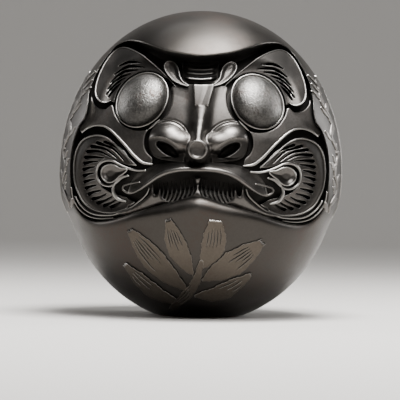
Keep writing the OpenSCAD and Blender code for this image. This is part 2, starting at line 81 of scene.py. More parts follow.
# Long and short half axes of the eye's ovals, and how far the long one leans from level
EYE_DOME = (15.4, 12.6)
EYE_RIM = (16.0, 13.1)
EYE_SOCKET = (17.3, 14.5)
EYE_LEAN = -52.5
BROW_RIM = [(17.6, 50.8), (24, 56.8), (31.5, 62.9), (38, 66.8), (43.2, 68.4), (47.3, 67.2), (51.4, 63),
            (54.8, 56.6), (57.2, 49.5), (57.8, 43), (55.8, 38.6), (52, 37.2), (48.9, 38.4)]
BROW_SLOTS = [[(33.4, 59.6), (39.6, 59.8), (45.2, 57.6)], [(31.4, 56.9), (40, 57.2), (47.4, 52.9)],
              [(35, 55.3), (42.6, 54.2), (49.4, 48.2)], [(38.9, 53.2), (45.2, 50.7), (50.9, 44.4)],
              [(41.9, 50.9), (46.9, 47.4), (51.5, 41.6)], [(44.2, 47.7), (47.7, 44.3), (50.3, 40.1)]]
NOSE_HALF = [(0, 47.2), (8, 47.6), (13, 47.2), (15.2, 45.6), (14.8, 42), (14.9, 38.5), (15.6, 35),
             (17.2, 31.4), (19.5, 28.3), (22.3, 26.2), (25, 22.9), (26.8, 18.5), (27.1, 14), (26.2, 10),
             (23.6, 7.4), (20, 6), (14, 5), (9, 4.4), (5, 4), (0, 3.8)]
SKIN = [(21.2, 27.9), (25.6, 24.6), (28.6, 19.8), (29.4, 14.5), (28, 10), (25, 6.8), (25.4, 4),
        (30.5, 5.2), (35, 9), (39, 13.5), (43, 17.7), (47.7, 22.1), (52, 24.5), (57, 24.8), (61.5, 23.4),
        (65, 21), (66.8, 23), (64.2, 26.6), (62, 30.5), (61.4, 36), (60.6, 41), (59.4, 37.6), (56.6, 34.7),
        (51.8, 33.6), (48.2, 35.8), (46.2, 30.5), (42.6, 25.4), (37.4, 22.4), (31.5, 21.6), (25.5, 23.2)]
CHEEK_OUTER = [(33.5, 2.6), (40.5, 9), (46.5, 14.8), (51, 17.8), (56, 19), (61.5, 17.9), (65.6, 15),
               (68.1, 10), (69.1, 4), (69.1, -2), (68.2, -8), (66.2, -13), (63, -18), (58, -21.3),
               (52, -22.9), (45, -22.9), (38, -20.5)]
FORE_DROP = [(19.6, 56.6), (19.3, 58.8), (17.6, 60.2), (15.2, 59.8), (12.9, 57.6), (11.6, 54.4), (10.9, 51.2),
             (9, 48.4), (6, 46.4), (10.5, 47.3), (14.6, 49.6), (17.8, 53)]
CHEEK_DROP = [(38.5, 0.4), (42.6, 1.2), (45.4, 2.5), (48.5, 3), (51.3, 1.8), (52.9, -0.8), (52.4, -4),
              (50.2, -6.2), (47.4, -6.6), (44.8, -5.4), (42.8, -3.4), (40.5, -1.8)]
DROP_RING = [(28, 0.2, 2.6), (33, 0, 3), (37.5, 0.9, 3.4), (42.3, 2.8, 3.8), (46.3, 4.8, 4), (50.3, 5.1, 4),
             (54, 3.2, 4), (55.6, -0.6, 4), (54.8, -5.2, 3.9), (51.8, -8, 3.8), (48, -8.6, 3.6),
             (44.6, -6.9, 3.4), (41.6, -4.3, 3), (38, -2.8, 2.4)]


def smooth01(t):
    t = np.clip(t, 0.0, 1.0)
    return t * t * (3 - 2 * t)


# ---------------------------------------------------------------- lines and outlines
def evenly(line, spacing, closed):
    """The same line with points a set distance apart; further columns, such as a width, go along."""
    run = np.concatenate([[0], np.cumsum(np.hypot(*np.diff(line[:, :2], axis=0).T))])
    count = max(3, round(run[-1] / spacing)) + 1
    at = np.linspace(0, run[-1], count)
    out = np.column_stack([np.interp(at, run, column) for column in line.T])
    return out[:-1] if closed else out


def spline(points, spacing=0.5, closed=False):
    """A smooth line through some points."""
    p = np.asarray(points, float)
    m = len(p)
    t = np.linspace(0, 1, 17)[:-1, None]
    runs = []
    for i in range(m if closed else m - 1):
        if closed:
            a, b, c, d = (p[(i + k) % m] for k in (-1, 0, 1, 2))
        else:
            a, b, c, d = p[max(i - 1, 0)], p[i], p[i + 1], p[min(i + 2, m - 1)]
        bend, twist = 2 * a - 5 * b + 4 * c - d, 3 * b - a - 3 * c + d
        runs.append((2 * b + (c - a) * t + bend * t**2 + twist * t**3) / 2)
    runs.append(p[:1] if closed else p[-1:])
    return evenly(np.vstack(runs), spacing, closed)


def leaning(centre, radii, lean, turn, rho=1.0):
    """Points of an oval whose first axis leans from level by some degrees."""
    c, s = math.cos(math.radians(lean)), math.sin(math.radians(lean))
    a, b = radii[0] * rho * np.cos(turn), radii[1] * rho * np.sin(turn)
    return centre[0] + a * c - b * s, centre[1] + a * s + b * c


def oval_radius(x, v, centre, radii, lean):
    """1 on the oval, less inside it."""
    c, s = math.cos(math.radians(lean)), math.sin(math.radians(lean))
    dx, dv = x - centre[0], v - centre[1]
    return np.hypot((dx * c + dv * s) / radii[0], (dv * c - dx * s) / radii[1])


def arc(centre, radii, lean, first, last, spacing=0.5):
    count = max(4, int(abs(last - first) / 360 * 6.3 * max(radii) / spacing))
    return np.column_stack(leaning(centre, radii, lean, np.radians(np.linspace(first, last, count))))


def oval(centre, radii, lean, spacing=0.5):
    return arc(centre, radii, lean, 0, 360, spacing)[:-1]


def both_halves(half):
    return list(half) + [(-x, v) for x, v in half[-2:0:-1]]


def turned_left(direction):
    return np.column_stack([-direction[:, 1], direction[:, 0]])


def tangents(line, closed):
    if closed:
        step = np.roll(line, -1, 0) - np.roll(line, 1, 0)
    else:
        step = np.gradient(line, axis=0)
    return step / np.maximum(np.linalg.norm(step, axis=1, keepdims=True), 1e-9)


def counter_clockwise(loop):
    x, v = loop[:, 0], loop[:, 1]
    area = np.sum(x * np.roll(v, -1) - v * np.roll(x, -1))
    return loop if area > 0 else loop[::-1]


def band(line, widths, spacing=0.4):
    """The outline of a stroke with round ends, along a smooth line of changing width."""
    path = spline(line, spacing)
    half = np.interp(np.linspace(0, 1, len(path)), np.linspace(0, 1, len(widths)), widths)[:, None] / 2
    side = turned_left(tangents(path, False)) * half
    ends = []
    for i, way in ((-1, 1), (0, -1)):
        t = tangents(path, False)[i] * way
        n = np.array([-t[1], t[0]]) * way
        a = np.radians(np.linspace(60, -60, 3))[:, None]
        ends.append(path[i] + half[i] * (n * np.sin(a) * way + t * np.cos(a)))
    return np.vstack([path + side, ends[0], (path - side)[::-1], ends[1]])


def edge_distance(points, lines, closed=True):
    """How far each point is from the nearest of some lines."""
    best = np.full(len(points), 1e9)
    for line in lines:
        a = line if closed else line[:-1]
        ab = (np.roll(line, -1, 0) if closed else line[1:]) - a
        size = np.maximum((ab**2).sum(1), 1e-12)
        for k in range(0, len(points), 2000):
            ap = points[k:k + 2000, None] - a[None]
            t = np.clip((ap * ab).sum(2) / size, 0, 1)
            gap = np.linalg.norm(ap - t[..., None] * ab, axis=2).min(1)
            best[k:k + 2000] = np.minimum(best[k:k + 2000], gap)
    return best


def inside(points, loops):
    """Which points lie in the first loop and in none of its holes."""
    crossings = np.zeros(len(points), int)
    for loop in loops:
        a, b = loop, np.roll(loop, -1, 0)
        for k in range(0, len(points), 2000):
            x, v = points[k:k + 2000, :1], points[k:k + 2000, 1:2]
            spans = (a[:, 1] > v) != (b[:, 1] > v)
            rise = np.where(b[:, 1] == a[:, 1], 1e-12, b[:, 1] - a[:, 1])
            hits = x < a[:, 0] + (v - a[:, 1]) / rise * (b[:, 0] - a[:, 0])
            crossings[k:k + 2000] += (spans & hits).sum(1)
    return crossings % 2 == 1


# ---------------------------------------------------------------- surfaces that outlines are laid on
def egg_radius(v, grow=0.0):
    """The egg's radius at a height above its widest level, moved outward by grow."""
    v = np.asarray(v, float)
    up = np.clip(v / (CROWN + grow), 0, 1)
    crown = (BODY_R + grow) * (1 - up**CROWN_FULLNESS) ** (1 / CROWN_FULLNESS)
    step_in = smooth01((-v - JAW_DROP) / JAW_BLEND) * (BODY_R - BELLY_R)
    belly = (BODY_R + grow - step_in) * np.sqrt(np.clip(1 - (np.minimum(v, 0) / (BELLY_H + grow)) ** 2, 0, 1))
    return np.where(v >= 0, crown, belly)


def on_face(x, v, lift):
    """Points at a height above the recess's floor, in front view at (x, v)."""
    deep = np.sqrt(np.maximum((BALL_R + lift) ** 2 - x**2 - (v - BALL_V) ** 2, 1))
    return np.column_stack([x, BALL_Y - deep, v + EQUATOR])


def on_belly(x, v, lift):
    return np.column_stack([x, -np.sqrt(np.maximum(egg_radius(v, lift) ** 2 - x**2, 1)), v + EQUATOR])


def on_flank(y, v, lift):
    return np.column_stack([np.sqrt(np.maximum(egg_radius(v, lift) ** 2 - y**2, 1)), y, v + EQUATOR])


# ---------------------------------------------------------------- meshes as (points, faces)
def triangulated(loops, extra):
    """Triangles over a region whose edges are kept, with some further points inside."""
    points = [Vector(p) for loop in loops for p in loop] + [Vector(p) for p in extra]
    edges, start = [], 0
    for loop in loops:
        n = len(loop)
        edges += [(start + i, start + (i + 1) % n) for i in range(n)]
        start += n
    flat, _, faces, _, _, _ = delaunay_2d_cdt(points, edges, [], 0, 1e-4)
    flat = np.array([p[:] for p in flat])
    faces = np.array([f for f in faces if len(f) == 3])
    faces = faces[inside(flat[faces].mean(1), loops)]
    a, b, c = (flat[faces[:, k]] for k in range(3))
    turned = (b[:, 0] - a[:, 0]) * (c[:, 1] - a[:, 1]) - (b[:, 1] - a[:, 1]) * (c[:, 0] - a[:, 0]) < 0
    faces[turned] = faces[turned][:, ::-1]
    return flat, faces


def open_edges(faces):
    """Edges with a face on one side only, in the direction that the face takes them."""
    edges = np.vstack([faces[:, [0, 1]], faces[:, [1, 2]], faces[:, [2, 0]]])
    used = {tuple(e) for e in edges.tolist()}
    return np.array([e for e in edges.tolist() if (e[1], e[0]) not in used])


RINGS = (0.12, 0.35, 0.7, 1.2)


def plate(loops, height, place=on_face, step=0.9, soft=0.25, foot=-0.6, rings=RINGS):
    """A closed solid plate: an outline with holes, a top of any height, softened edges and upright sides."""
    loops = [counter_clockwise(loops[0])] + [counter_clockwise(h)[::-1] for h in loops[1:]]
    extra = []
    for d in rings:
        for loop in loops:
            q = loop + d * turned_left(tangents(loop, True))
            q = q[inside(q, loops)]
            extra.append(q[edge_distance(q, loops) > 0.92 * d])
    low, high = loops[0].min(0), loops[0].max(0)
    x, v = np.meshgrid(np.arange(low[0], high[0], step), np.arange(low[1], high[1], step * 0.87))
    x[1::2] += step / 2
    q = np.column_stack([x.ravel(), v.ravel()])
    q = q[inside(q, loops)]
    extra.append(q[edge_distance(q, loops) > rings[-1] + 0.4 * step])
    flat, faces = triangulated(loops, np.vstack(extra))
    d = edge_distance(flat, loops)
    lift = height(flat[:, 0], flat[:, 1], d)
    lift = lift - soft * (1 - np.sqrt(1 - np.clip(1 - d / soft, 0, 1) ** 2))
    rim = open_edges(faces)
    used = np.unique(rim)
    n, m = len(flat), len(used)
    index = np.zeros(n, int)
    index[used] = np.arange(m)
    u, w, top = flat[used, 0], flat[used, 1], lift[used]
    shoulder = np.maximum(top - 0.4, (top + foot) / 2)
    points = np.vstack([place(flat[:, 0], flat[:, 1], lift), place(u, w, shoulder),
                        place(u, w, np.full(m, foot))])
    a, b = rim[:, 0], rim[:, 1]
    ia, ib = index[a], index[b]
    sides = np.vstack([np.column_stack([b, a, n + ia, n + ib]),
                       np.column_stack([n + ib, n + ia, n + m + ia, n + m + ib])])
    under_flat, under = triangulated(loops, np.zeros((0, 2)))
    key = {tuple(np.round(flat[k], 3)): n + m + index[k] for k in used}
    under = [[key[tuple(np.round(under_flat[k], 3))] for k in f[::-1]] for f in under]
    return points, faces.tolist() + sides.tolist() + under


def loft(sections, closed):
    """Joins closed cross-sections, one after the other, with capped ends unless they close up."""
    n, m, _ = sections.shape
    i, j = np.meshgrid(np.arange(n if closed else n - 1), np.arange(m), indexing="ij")
    i2, j2 = (i + 1) % n, (j + 1) % m
    faces = np.stack([i * m + j, i2 * m + j, i2 * m + j2, i * m + j2], -1).reshape(-1, 4).tolist()
    if not closed:
        faces += [list(range(m)), [(n - 1) * m + k for k in reversed(range(m))]]
    return sections.reshape(-1, 3), faces


def dome(centre, radii, lean, base, rise, foot=-0.6, rows=26, around=84):
    """An oval cushion that rises from the face, finer towards its steep edge."""
    a = np.linspace(0, 2 * math.pi, around, endpoint=False)
    points, faces = [on_face(np.array([centre[0]]), np.array([centre[1]]), base + rise)], []
    levels = [(math.sin(k / rows * math.pi / 2), base + rise * math.cos(k / rows * math.pi / 2))
              for k in range(1, rows + 1)] + [(1, foot)]
    for rho, lift in levels:
        x, v = leaning(centre, radii, lean, a, rho)
        points.append(on_face(x, v, np.full(around, lift)))
    for k in range(around):
        k2 = (k + 1) % around
        faces.append([0, 1 + k, 1 + k2])
        for row in range(len(levels) - 1):
            s = 1 + row * around
            faces.append([s + k, s + around + k, s + around + k2, s + k2])
    faces.append([1 + (len(levels) - 1) * around + k for k in reversed(range(around))])
    return np.vstack(points), faces


def turned(profile, place, around=64):
    """A lathe-turned solid: (radius, height) points from axis to axis, put in place by a function."""
    a = np.linspace(0, 2 * math.pi, around, endpoint=False)
    profile = np.asarray(profile, float)
    rows = np.stack([np.column_stack([r * np.cos(a), r * np.sin(a), np.full(around, h)]) for r, h in profile])
    n = len(profile)
    i, j = np.meshgrid(np.arange(n - 1), np.arange(around), indexing="ij")
    j2 = (j + 1) % around
    faces = np.stack([i * around + j, i * around + j2, (i + 1) * around + j2, (i + 1) * around + j], -1)
    return place(rows.reshape(-1, 3)), faces.reshape(-1, 4).tolist()


def mirrored(part):
    points, faces = part
    return points * [-1, 1, 1], [f[::-1] for f in faces]


def welded(points, faces):
    """Joins points that coincide, and drops faces that this closes up."""
    _, first, back = np.unique(np.round(points, 3), axis=0, return_index=True, return_inverse=True)
    back = back.ravel()
    out = []
    for f in faces:
        g = [back[k] for k in f]
        g = [k for i, k in enumerate(g) if k != g[i - 1]]
        if len(g) > 2:
            out.append(g)
    return points[first], out


def facing_out(part):
    """Turns a closed solid's faces so that they point outward."""
    points, faces = part
    centre = points.mean(0)
    volume = 0.0
    for f in faces:
        a = points[f[0]] - centre
        for k in range(1, len(f) - 1):
            volume += np.dot(a, np.cross(points[f[k]] - centre, points[f[k + 1]] - centre))
    return part if volume > 0 else (points, [f[::-1] for f in faces])


def joined(parts):
    points, faces, start = [], [], 0
    for p, f in parts:
        points.append(p)
        faces += [[k + start for k in face] for face in f]
        start += len(p)
    return np.vstack(points), faces


# ---------------------------------------------------------------- ribs: one tree for what follows a path
def node(tree, kind, settings=None, **links):
    """Adds a node, sets its properties, and fills its inputs from values or from other nodes' outputs."""
    made = tree.nodes.new(kind)
    for key, value in (settings or {}).items():
        setattr(made, key, value)
    for key, value in links.items():
        name = key.replace("_", " ")
        socket = made.inputs[int(key[1:])] if key[0] == "i" and key[1:].isdigit() else made.inputs[name]
        if isinstance(value, bpy.types.NodeSocket):
            tree.links.new(value, socket)
        else:
            socket.default_value = value
    return made


def rib_tree():
    """Mesh lines in, round ribs out; each line's points say how thick its rib is."""
    name = "Rib along a path"
    if name in bpy.data.node_groups:
        return bpy.data.node_groups[name]
    tree = bpy.data.node_groups.new(name, "GeometryNodeTree")
    face = tree.interface
    face.new_socket("Geometry", in_out="INPUT", socket_type="NodeSocketGeometry")
    thickness = face.new_socket("Thickness", in_out="INPUT", socket_type="NodeSocketFloat")
    thickness.default_value = 1.0
    sides = face.new_socket("Sides", in_out="INPUT", socket_type="NodeSocketInt")
    sides.default_value = 8
    face.new_socket("Finish", in_out="INPUT", socket_type="NodeSocketMaterial")
    face.new_socket("Geometry", in_out="OUTPUT", socket_type="NodeSocketGeometry")
    given = tree.nodes.new("NodeGroupInput").outputs
    radius = node(tree, "GeometryNodeInputNamedAttribute", {"data_type": "FLOAT"}, Name="rib_radius")
    scaled = node(tree, "ShaderNodeMath", {"operation": "MULTIPLY"}, i0=radius.outputs["Attribute"],
                  i1=given["Thickness"])
    lines = node(tree, "GeometryNodeMeshToCurve", Mesh=given["Geometry"])
    thick = node(tree, "GeometryNodeSetCurveRadius", Curve=lines.outputs["Curve"], Radius=scaled.outputs[0])
    ring = node(tree, "GeometryNodeCurvePrimitiveCircle", Resolution=given["Sides"], Radius=1.0)
    sweep = node(tree, "GeometryNodeCurveToMesh", Curve=thick.outputs["Curve"],
                 Profile_Curve=ring.outputs["Curve"], Fill_Caps=True)
    if "Scale" in sweep.inputs:
        tree.links.new(scaled.outputs[0], sweep.inputs["Scale"])
        tree.links.remove(thick.inputs["Radius"].links[0])
        thick.inputs["Radius"].default_value = 1.0
    real = node(tree, "GeometryNodeRealizeInstances", Geometry=sweep.outputs["Mesh"])
    dressed = node(tree, "GeometryNodeSetMaterial", Geometry=real.outputs["Geometry"],
                   Material=given["Finish"])
    out = tree.nodes.new("NodeGroupOutput")
    tree.links.new(dressed.outputs["Geometry"], out.inputs[0])
    return tree


def ribs(lines, finish, thickness=1.0, sides=8, closed=False, place=on_face, spacing=0.6):
    """Round ribs along smooth lines of (x, v, height of the rib's axis, radius)."""
    points, radii, edges, start = [], [], [], 0
    for line in lines:
        path = spline(line, spacing, closed)
        points.append(place(path[:, 0], path[:, 1], path[:, 2]) * MM)
        radii.append(path[:, 3] * MM)
        n = len(path)
        edges += [(start + k, start + k + 1) for k in range(n - 1)]
        if closed:
            edges.append((start + n - 1, start))
        start += n
    mesh = bpy.data.meshes.new("rib_paths")
    mesh.from_pydata(np.vstack(points).tolist(), edges, [])
    mesh.attributes.new("rib_radius", "FLOAT", "POINT").data.foreach_set("value", np.concatenate(radii))
    holder = bpy.data.objects.new("rib_paths", mesh)
    bpy.context.scene.collection.objects.link(holder)
    modifier = holder.modifiers.new("ribs", "NODES")
    modifier.node_group = rib_tree()
    for item in modifier.node_group.interface.items_tree:
        if item.in_out == "INPUT" and item.name in ("Thickness", "Sides", "Finish"):
            modifier[item.identifier] = {"Thickness": thickness, "Sides": sides, "Finish": finish}[item.name]
    shape = holder.evaluated_get(bpy.context.evaluated_depsgraph_get())
    made = bpy.data.meshes.new_from_object(shape)
    flat = np.empty(len(made.vertices) * 3)
    made.vertices.foreach_get("co", flat)
    faces = [list(p.vertices) for p in made.polygons]
    bpy.data.objects.remove(holder)
    bpy.data.meshes.remove(mesh)
    bpy.data.meshes.remove(made)
    return flat.reshape(-1, 3) / MM, faces


# ---------------------------------------------------------------- finished pieces
def mark_finish(mesh, in_recess, shade=None):
    """Stores how far each point stands proud, where hands rub it, and how deep in the recess it lies."""
    n = len(mesh.vertices)
    flat = np.empty(n * 3)
    mesh.vertices.foreach_get("co", flat)
    place = flat.reshape(-1, 3) / MM
    mesh.vertex_normals.foreach_get("vector", flat)
    normal = flat.reshape(-1, 3)
    pairs = np.empty(len(mesh.edges) * 2, int)
    mesh.edges.foreach_get("vertices", pairs)
    a, b = pairs.reshape(-1, 2).T
    way = place[b] - place[a]
    way /= np.maximum(np.linalg.norm(way, axis=1, keepdims=True), 1e-9)
    total = np.bincount(a, -(normal[a] * way).sum(1), n) + np.bincount(b, (normal[b] * way).sum(1), n)
    count = np.maximum(np.bincount(a, minlength=n) + np.bincount(b, minlength=n), 1)
    proud = total / count
    spread = (np.bincount(a, proud[b], n) + np.bincount(b, proud[a], n)) / count
    proud = 0.6 * proud + 0.4 * spread
    mesh.attributes.new("proud", "FLOAT", "POINT").data.foreach_set("value", proud)
    # The deeper in the recess, the darker: patina, and painted shade
    if in_recess:
        lift = np.linalg.norm(place - [0, BALL_Y, EQUATOR + BALL_V], axis=1) - BALL_R
        patina_and_shade = np.clip((2.6 - lift) / 3.4, 0, 1)
    else:
        patina_and_shade = np.zeros(n)
    # Shade functions add painted shade, or painted light where they are negative
    if shade:
        patina_and_shade = np.clip(patina_and_shade + shade(place[:, 0], place[:, 1], place[:, 2] - EQUATOR), 0, 1)
    mesh.attributes.new("patina_and_shade", "FLOAT", "POINT").data.foreach_set("value", patina_and_shade)


def finished(name, parts, material, slot, nodes=(), in_recess=True, shade=None):
    """Makes one piece of the doll from its parts, and tells the frame what it is."""
    points, faces = joined([facing_out(p) for p in parts])
    mesh = bpy.data.meshes.new(name)
    mesh.from_pydata((points * MM).tolist(), [], faces)
    mesh.validate()
    mesh.polygons.foreach_set("use_smooth", np.ones(len(mesh.polygons), bool))
    mesh.materials.append(material)
    mark_finish(mesh, in_recess, shade)
    piece = bpy.data.objects.new(name, mesh)
    bpy.context.scene.collection.objects.link(piece)
    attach(piece, ROOT)
    if nodes:
        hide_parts(*nodes)
    return piece


def pair(name, parts, material, slot, **more):
    """A right-hand piece and its mirror image on the left."""
    finished(name + "_right", parts, material, slot, [name + "_right"], **more)
    finished(name + "_left", [mirrored(p) for p in parts], material, slot, [name + "_left"], **more)


# ---------------------------------------------------------------- materials
def linear(colour):
    """An sRGB hex colour, or a colour property's value, as the linear colour that shaders take."""
    if not isinstance(colour, str):
        return (*colour[:3], 1.0)
    parts = [int(colour[k:k + 2], 16) / 255 for k in (1, 3, 5)]
    return (*[c / 12.92 if c <= 0.04045 else ((c + 0.055) / 1.055) ** 2.4 for c in parts], 1.0)


def per_mm(size):
    """A noise scale whose features are about this many millimetres across."""
    return 1000.0 / size


def noise(tree, where, size, detail=4.0, roughness=0.55):
    made = node(tree, "ShaderNodeTexNoise", Vector=where, Scale=per_mm(size), Detail=detail,
                Roughness=roughness)
    return made.outputs["Fac"]


def ranged(tree, value, low, high, out_low=0.0, out_high=1.0):
    return node(tree, "ShaderNodeMapRange", {"interpolation_type": "SMOOTHSTEP"}, Value=value, From_Min=low,
                From_Max=high, To_Min=out_low, To_Max=out_high).outputs["Result"]


def maths(tree, operation, a, b):
    return node(tree, "ShaderNodeMath", {"operation": operation, "use_clamp": operation != "MULTIPLY"},
                i0=a, i1=b).outputs[0]


def blended(tree, share, a, b):
    made = tree.nodes.new("ShaderNodeMix")
    made.data_type = "RGBA"
    by_name = {s.identifier: s for s in made.inputs}
    for key, value in (("Factor_Float", share), ("A_Color", a), ("B_Color", b)):
        if isinstance(value, bpy.types.NodeSocket):
            tree.links.new(value, by_name[key])
        else:
            by_name[key].default_value = value
    return next(s for s in made.outputs if s.identifier == "Result_Color")


def new_material(name):
    material = bpy.data.materials.new(name)
    material.use_nodes = True
    tree = material.node_tree
    tree.nodes.clear()
    shader = tree.nodes.new("ShaderNodeBsdfPrincipled")
    out = tree.nodes.new("ShaderNodeOutputMaterial")
    tree.links.new(shader.outputs[0], out.inputs["Surface"])
    where = tree.nodes.new("ShaderNodeTexCoord").outputs["Object"]
    return material, tree, shader, where


def connect(tree, shader, **values):
    for key, value in values.items():
        socket = shader.inputs[key.replace("_", " ")]
        if isinstance(value, bpy.types.NodeSocket):
            tree.links.new(value, socket)
        else:
            socket.default_value = value


def blackened_steel(name, base, roughness, grain, blotch, rust_share, wear_and_highlight_share, uneven=0.2, tooth=0.25,
                    relief=0.00012):
    """Cast steel, blackened, then rubbed back: proud edges go bright and the recess stays black."""
    look = bpy.context.scene.daruma
    base, worn, patina, rust = (linear(c) for c in (base, look.worn, look.patina, look.rust))
    material, tree, shader, where = new_material(name)
    attribute = {"attribute_type": "GEOMETRY"}
    proud = node(tree, "ShaderNodeAttribute", {**attribute, "attribute_name": "proud"}).outputs["Fac"]
    patina_and_shade = node(tree, "ShaderNodeAttribute", {**attribute, "attribute_name": "patina_and_shade"}).outputs["Fac"]
    cloud = noise(tree, where, blotch)
    speck = noise(tree, where, 1.3, 6.0, 0.7)
    # Brown bloom in the blotches, broken up by specks
    bloom = maths(tree, "MULTIPLY", ranged(tree, cloud, 0.5, 0.68), ranged(tree, speck, 0.42, 0.62))
    colour = blended(tree, maths(tree, "MULTIPLY", bloom, rust_share), base, rust)
    # Uneven darkening from the blackening bath
    tone = maths(tree, "MULTIPLY", ranged(tree, speck, 0.35, 0.65), uneven)
    colour = blended(tree, tone, colour, patina)
    # Patina and painted shade darken the recess and the places that the shade functions mark
    colour = blended(tree, maths(tree, "MULTIPLY", patina_and_shade, 0.9), colour, patina)
    # Proud edges go bright: rubbing wear where hands reach, and painted highlight; both fade where the patina
    # and painted shade lie
    edge_wear_and_highlight = maths(tree, "SUBTRACT", wear_and_highlight_share, maths(tree, "MULTIPLY", patina_and_shade, 0.85 * wear_and_highlight_share))
    edge = maths(tree, "MULTIPLY", ranged(tree, proud, 0.06, 0.34), edge_wear_and_highlight)
    # Hollows go dark: patina in the creases, and painted shade
    hollow = ranged(tree, proud, -0.05, -0.3, 0.0, 0.75)
    colour = blended(tree, hollow, colour, patina)
    colour = blended(tree, edge, colour, worn)
    rough = ranged(tree, cloud, 0.3, 0.7, roughness - 0.05, roughness + 0.07)
    rough = maths(tree, "ADD", rough, maths(tree, "MULTIPLY", patina_and_shade, 0.12))
    rough = maths(tree, "SUBTRACT", rough, maths(tree, "MULTIPLY", edge, 0.12))
    fine = noise(tree, where, grain, 3.0, 0.6)
    bump = node(tree, "ShaderNodeBump", Height=fine, Strength=tooth, Distance=relief)
    connect(tree, shader, Base_Color=colour, Roughness=rough, Metallic=1.0, Normal=bump.outputs["Normal"])
    return material


def ground_steel(name, base, dark, roughness):
    """Machined parts that nobody sees: fine circular tool marks, lightly oiled."""
    material, tree, shader, where = new_material(name)
    marks = node(tree, "ShaderNodeTexWave", {"wave_type": "RINGS", "rings_direction": "Z"}, Vector=where,
                 Scale=per_mm(3.0), Distortion=0.4, Detail=2.0)
    colour = blended(tree, maths(tree, "MULTIPLY", noise(tree, where, 6.0), 0.5), base, dark)
    bump = node(tree, "ShaderNodeBump", Height=marks.outputs["Fac"], Strength=0.15, Distance=0.00005)
    connect(tree, shader, Base_Color=colour, Roughness=roughness, Metallic=1.0, Normal=bump.outputs["Normal"])
    return material


def cast_iron(name, base, dark):
    """Sand-cast ballast: coarse, dull and grey-black."""
    material, tree, shader, where = new_material(name)
    sand = noise(tree, where, 0.8, 5.0, 0.7)
    colour = blended(tree, ranged(tree, sand, 0.35, 0.65), base, dark)
    bump = node(tree, "ShaderNodeBump", Height=sand, Strength=0.6, Distance=0.0003)
    connect(tree, shader, Base_Color=colour, Roughness=0.6, Metallic=1.0, Normal=bump.outputs["Normal"])
    return material


def pressed_felt(name, base, fibre):
    """Pressed wool: matt, with a fine matted pile."""
    material, tree, shader, where = new_material(name)
    pile = noise(tree, where, 0.35, 6.0, 0.75)
    colour = blended(tree, ranged(tree, pile, 0.35, 0.65), base, fibre)
    bump = node(tree, "ShaderNodeBump", Height=pile, Strength=0.8, Distance=0.0003)
    connect(tree, shader, Base_Color=colour, Roughness=0.95, Metallic=0.0, Sheen_Weight=0.3,
            Normal=bump.outputs["Normal"])
    return material


def studio_paper(name, base):
    """Rolled studio paper, matt with the faintest tooth."""
    material, tree, shader, where = new_material(name)
    tooth = noise(tree, where, 1.5, 3.0)
    shade = blended(tree, maths(tree, "MULTIPLY", noise(tree, where, 60.0), 0.06), base, (0.5, 0.5, 0.5, 1))
    bump = node(tree, "ShaderNodeBump", Height=tooth, Strength=0.05, Distance=0.0001)
    connect(tree, shader, Base_Color=shade, Roughness=0.8, Metallic=0.0, Normal=bump.outputs["Normal"])
    return material


def material_for(kind):
    """The material of that kind, made the first time that a piece asks for it."""
    if kind in bpy.data.materials:
        return bpy.data.materials[kind]
    look = bpy.context.scene.daruma
    grain = look.grain / MM
    blackened = {
        "blackened shell steel": dict(base=look.shell, roughness=0.38, grain=grain * 1.6, blotch=34.0,
                                      rust_share=0.3, wear_and_highlight_share=0.5, uneven=0.12, tooth=0.3),
        "blackened relief steel": dict(base=look.steel, roughness=0.36, grain=grain, blotch=14.0,
                                       rust_share=0.3, wear_and_highlight_share=0.65),
        "blackened panel steel": dict(base=look.panel, roughness=0.42, grain=grain, blotch=12.0,
                                      rust_share=0.2, wear_and_highlight_share=0.6),
        "rubbed eye steel": dict(base=look.eye, roughness=0.40, grain=grain * 2.6, blotch=9.0,
                                 rust_share=0.7, wear_and_highlight_share=0.6, uneven=0.5, tooth=1.0, relief=0.0003),
        "emblem bronze": dict(base=look.bronze, roughness=0.44, grain=grain, blotch=18.0,
                              rust_share=0.12, wear_and_highlight_share=0.45),
    }
    if kind in blackened:
        return blackened_steel(kind, **blackened[kind])
    if kind == "ground steel":
        return ground_steel(kind, linear(look.worn), linear(look.steel), 0.3)
    if kind == "cast ballast iron":
        return cast_iron(kind, linear(look.steel), linear(look.patina))
    return pressed_felt(kind, linear(look.felt), linear("#6a4a3c"))


# ---------------------------------------------------------------- shell and recess
def opening(inset=0.0):
    """The recess's edge in front view, moved inward by some inset."""
    edge = counter_clockwise(spline(both_halves(OPENING_HALF), 0.9, True))
    return edge + inset * turned_left(tangents(edge, True))


def edge_rounding(x, v):
    """The hood and sides end in a crisp edge; the collar rolls over softly, most of all below the mouth."""
    return 0.7 + (3.4 + 5.6 * np.exp(-((x / 30) ** 2))) * smooth01((-4 - v) / 12)


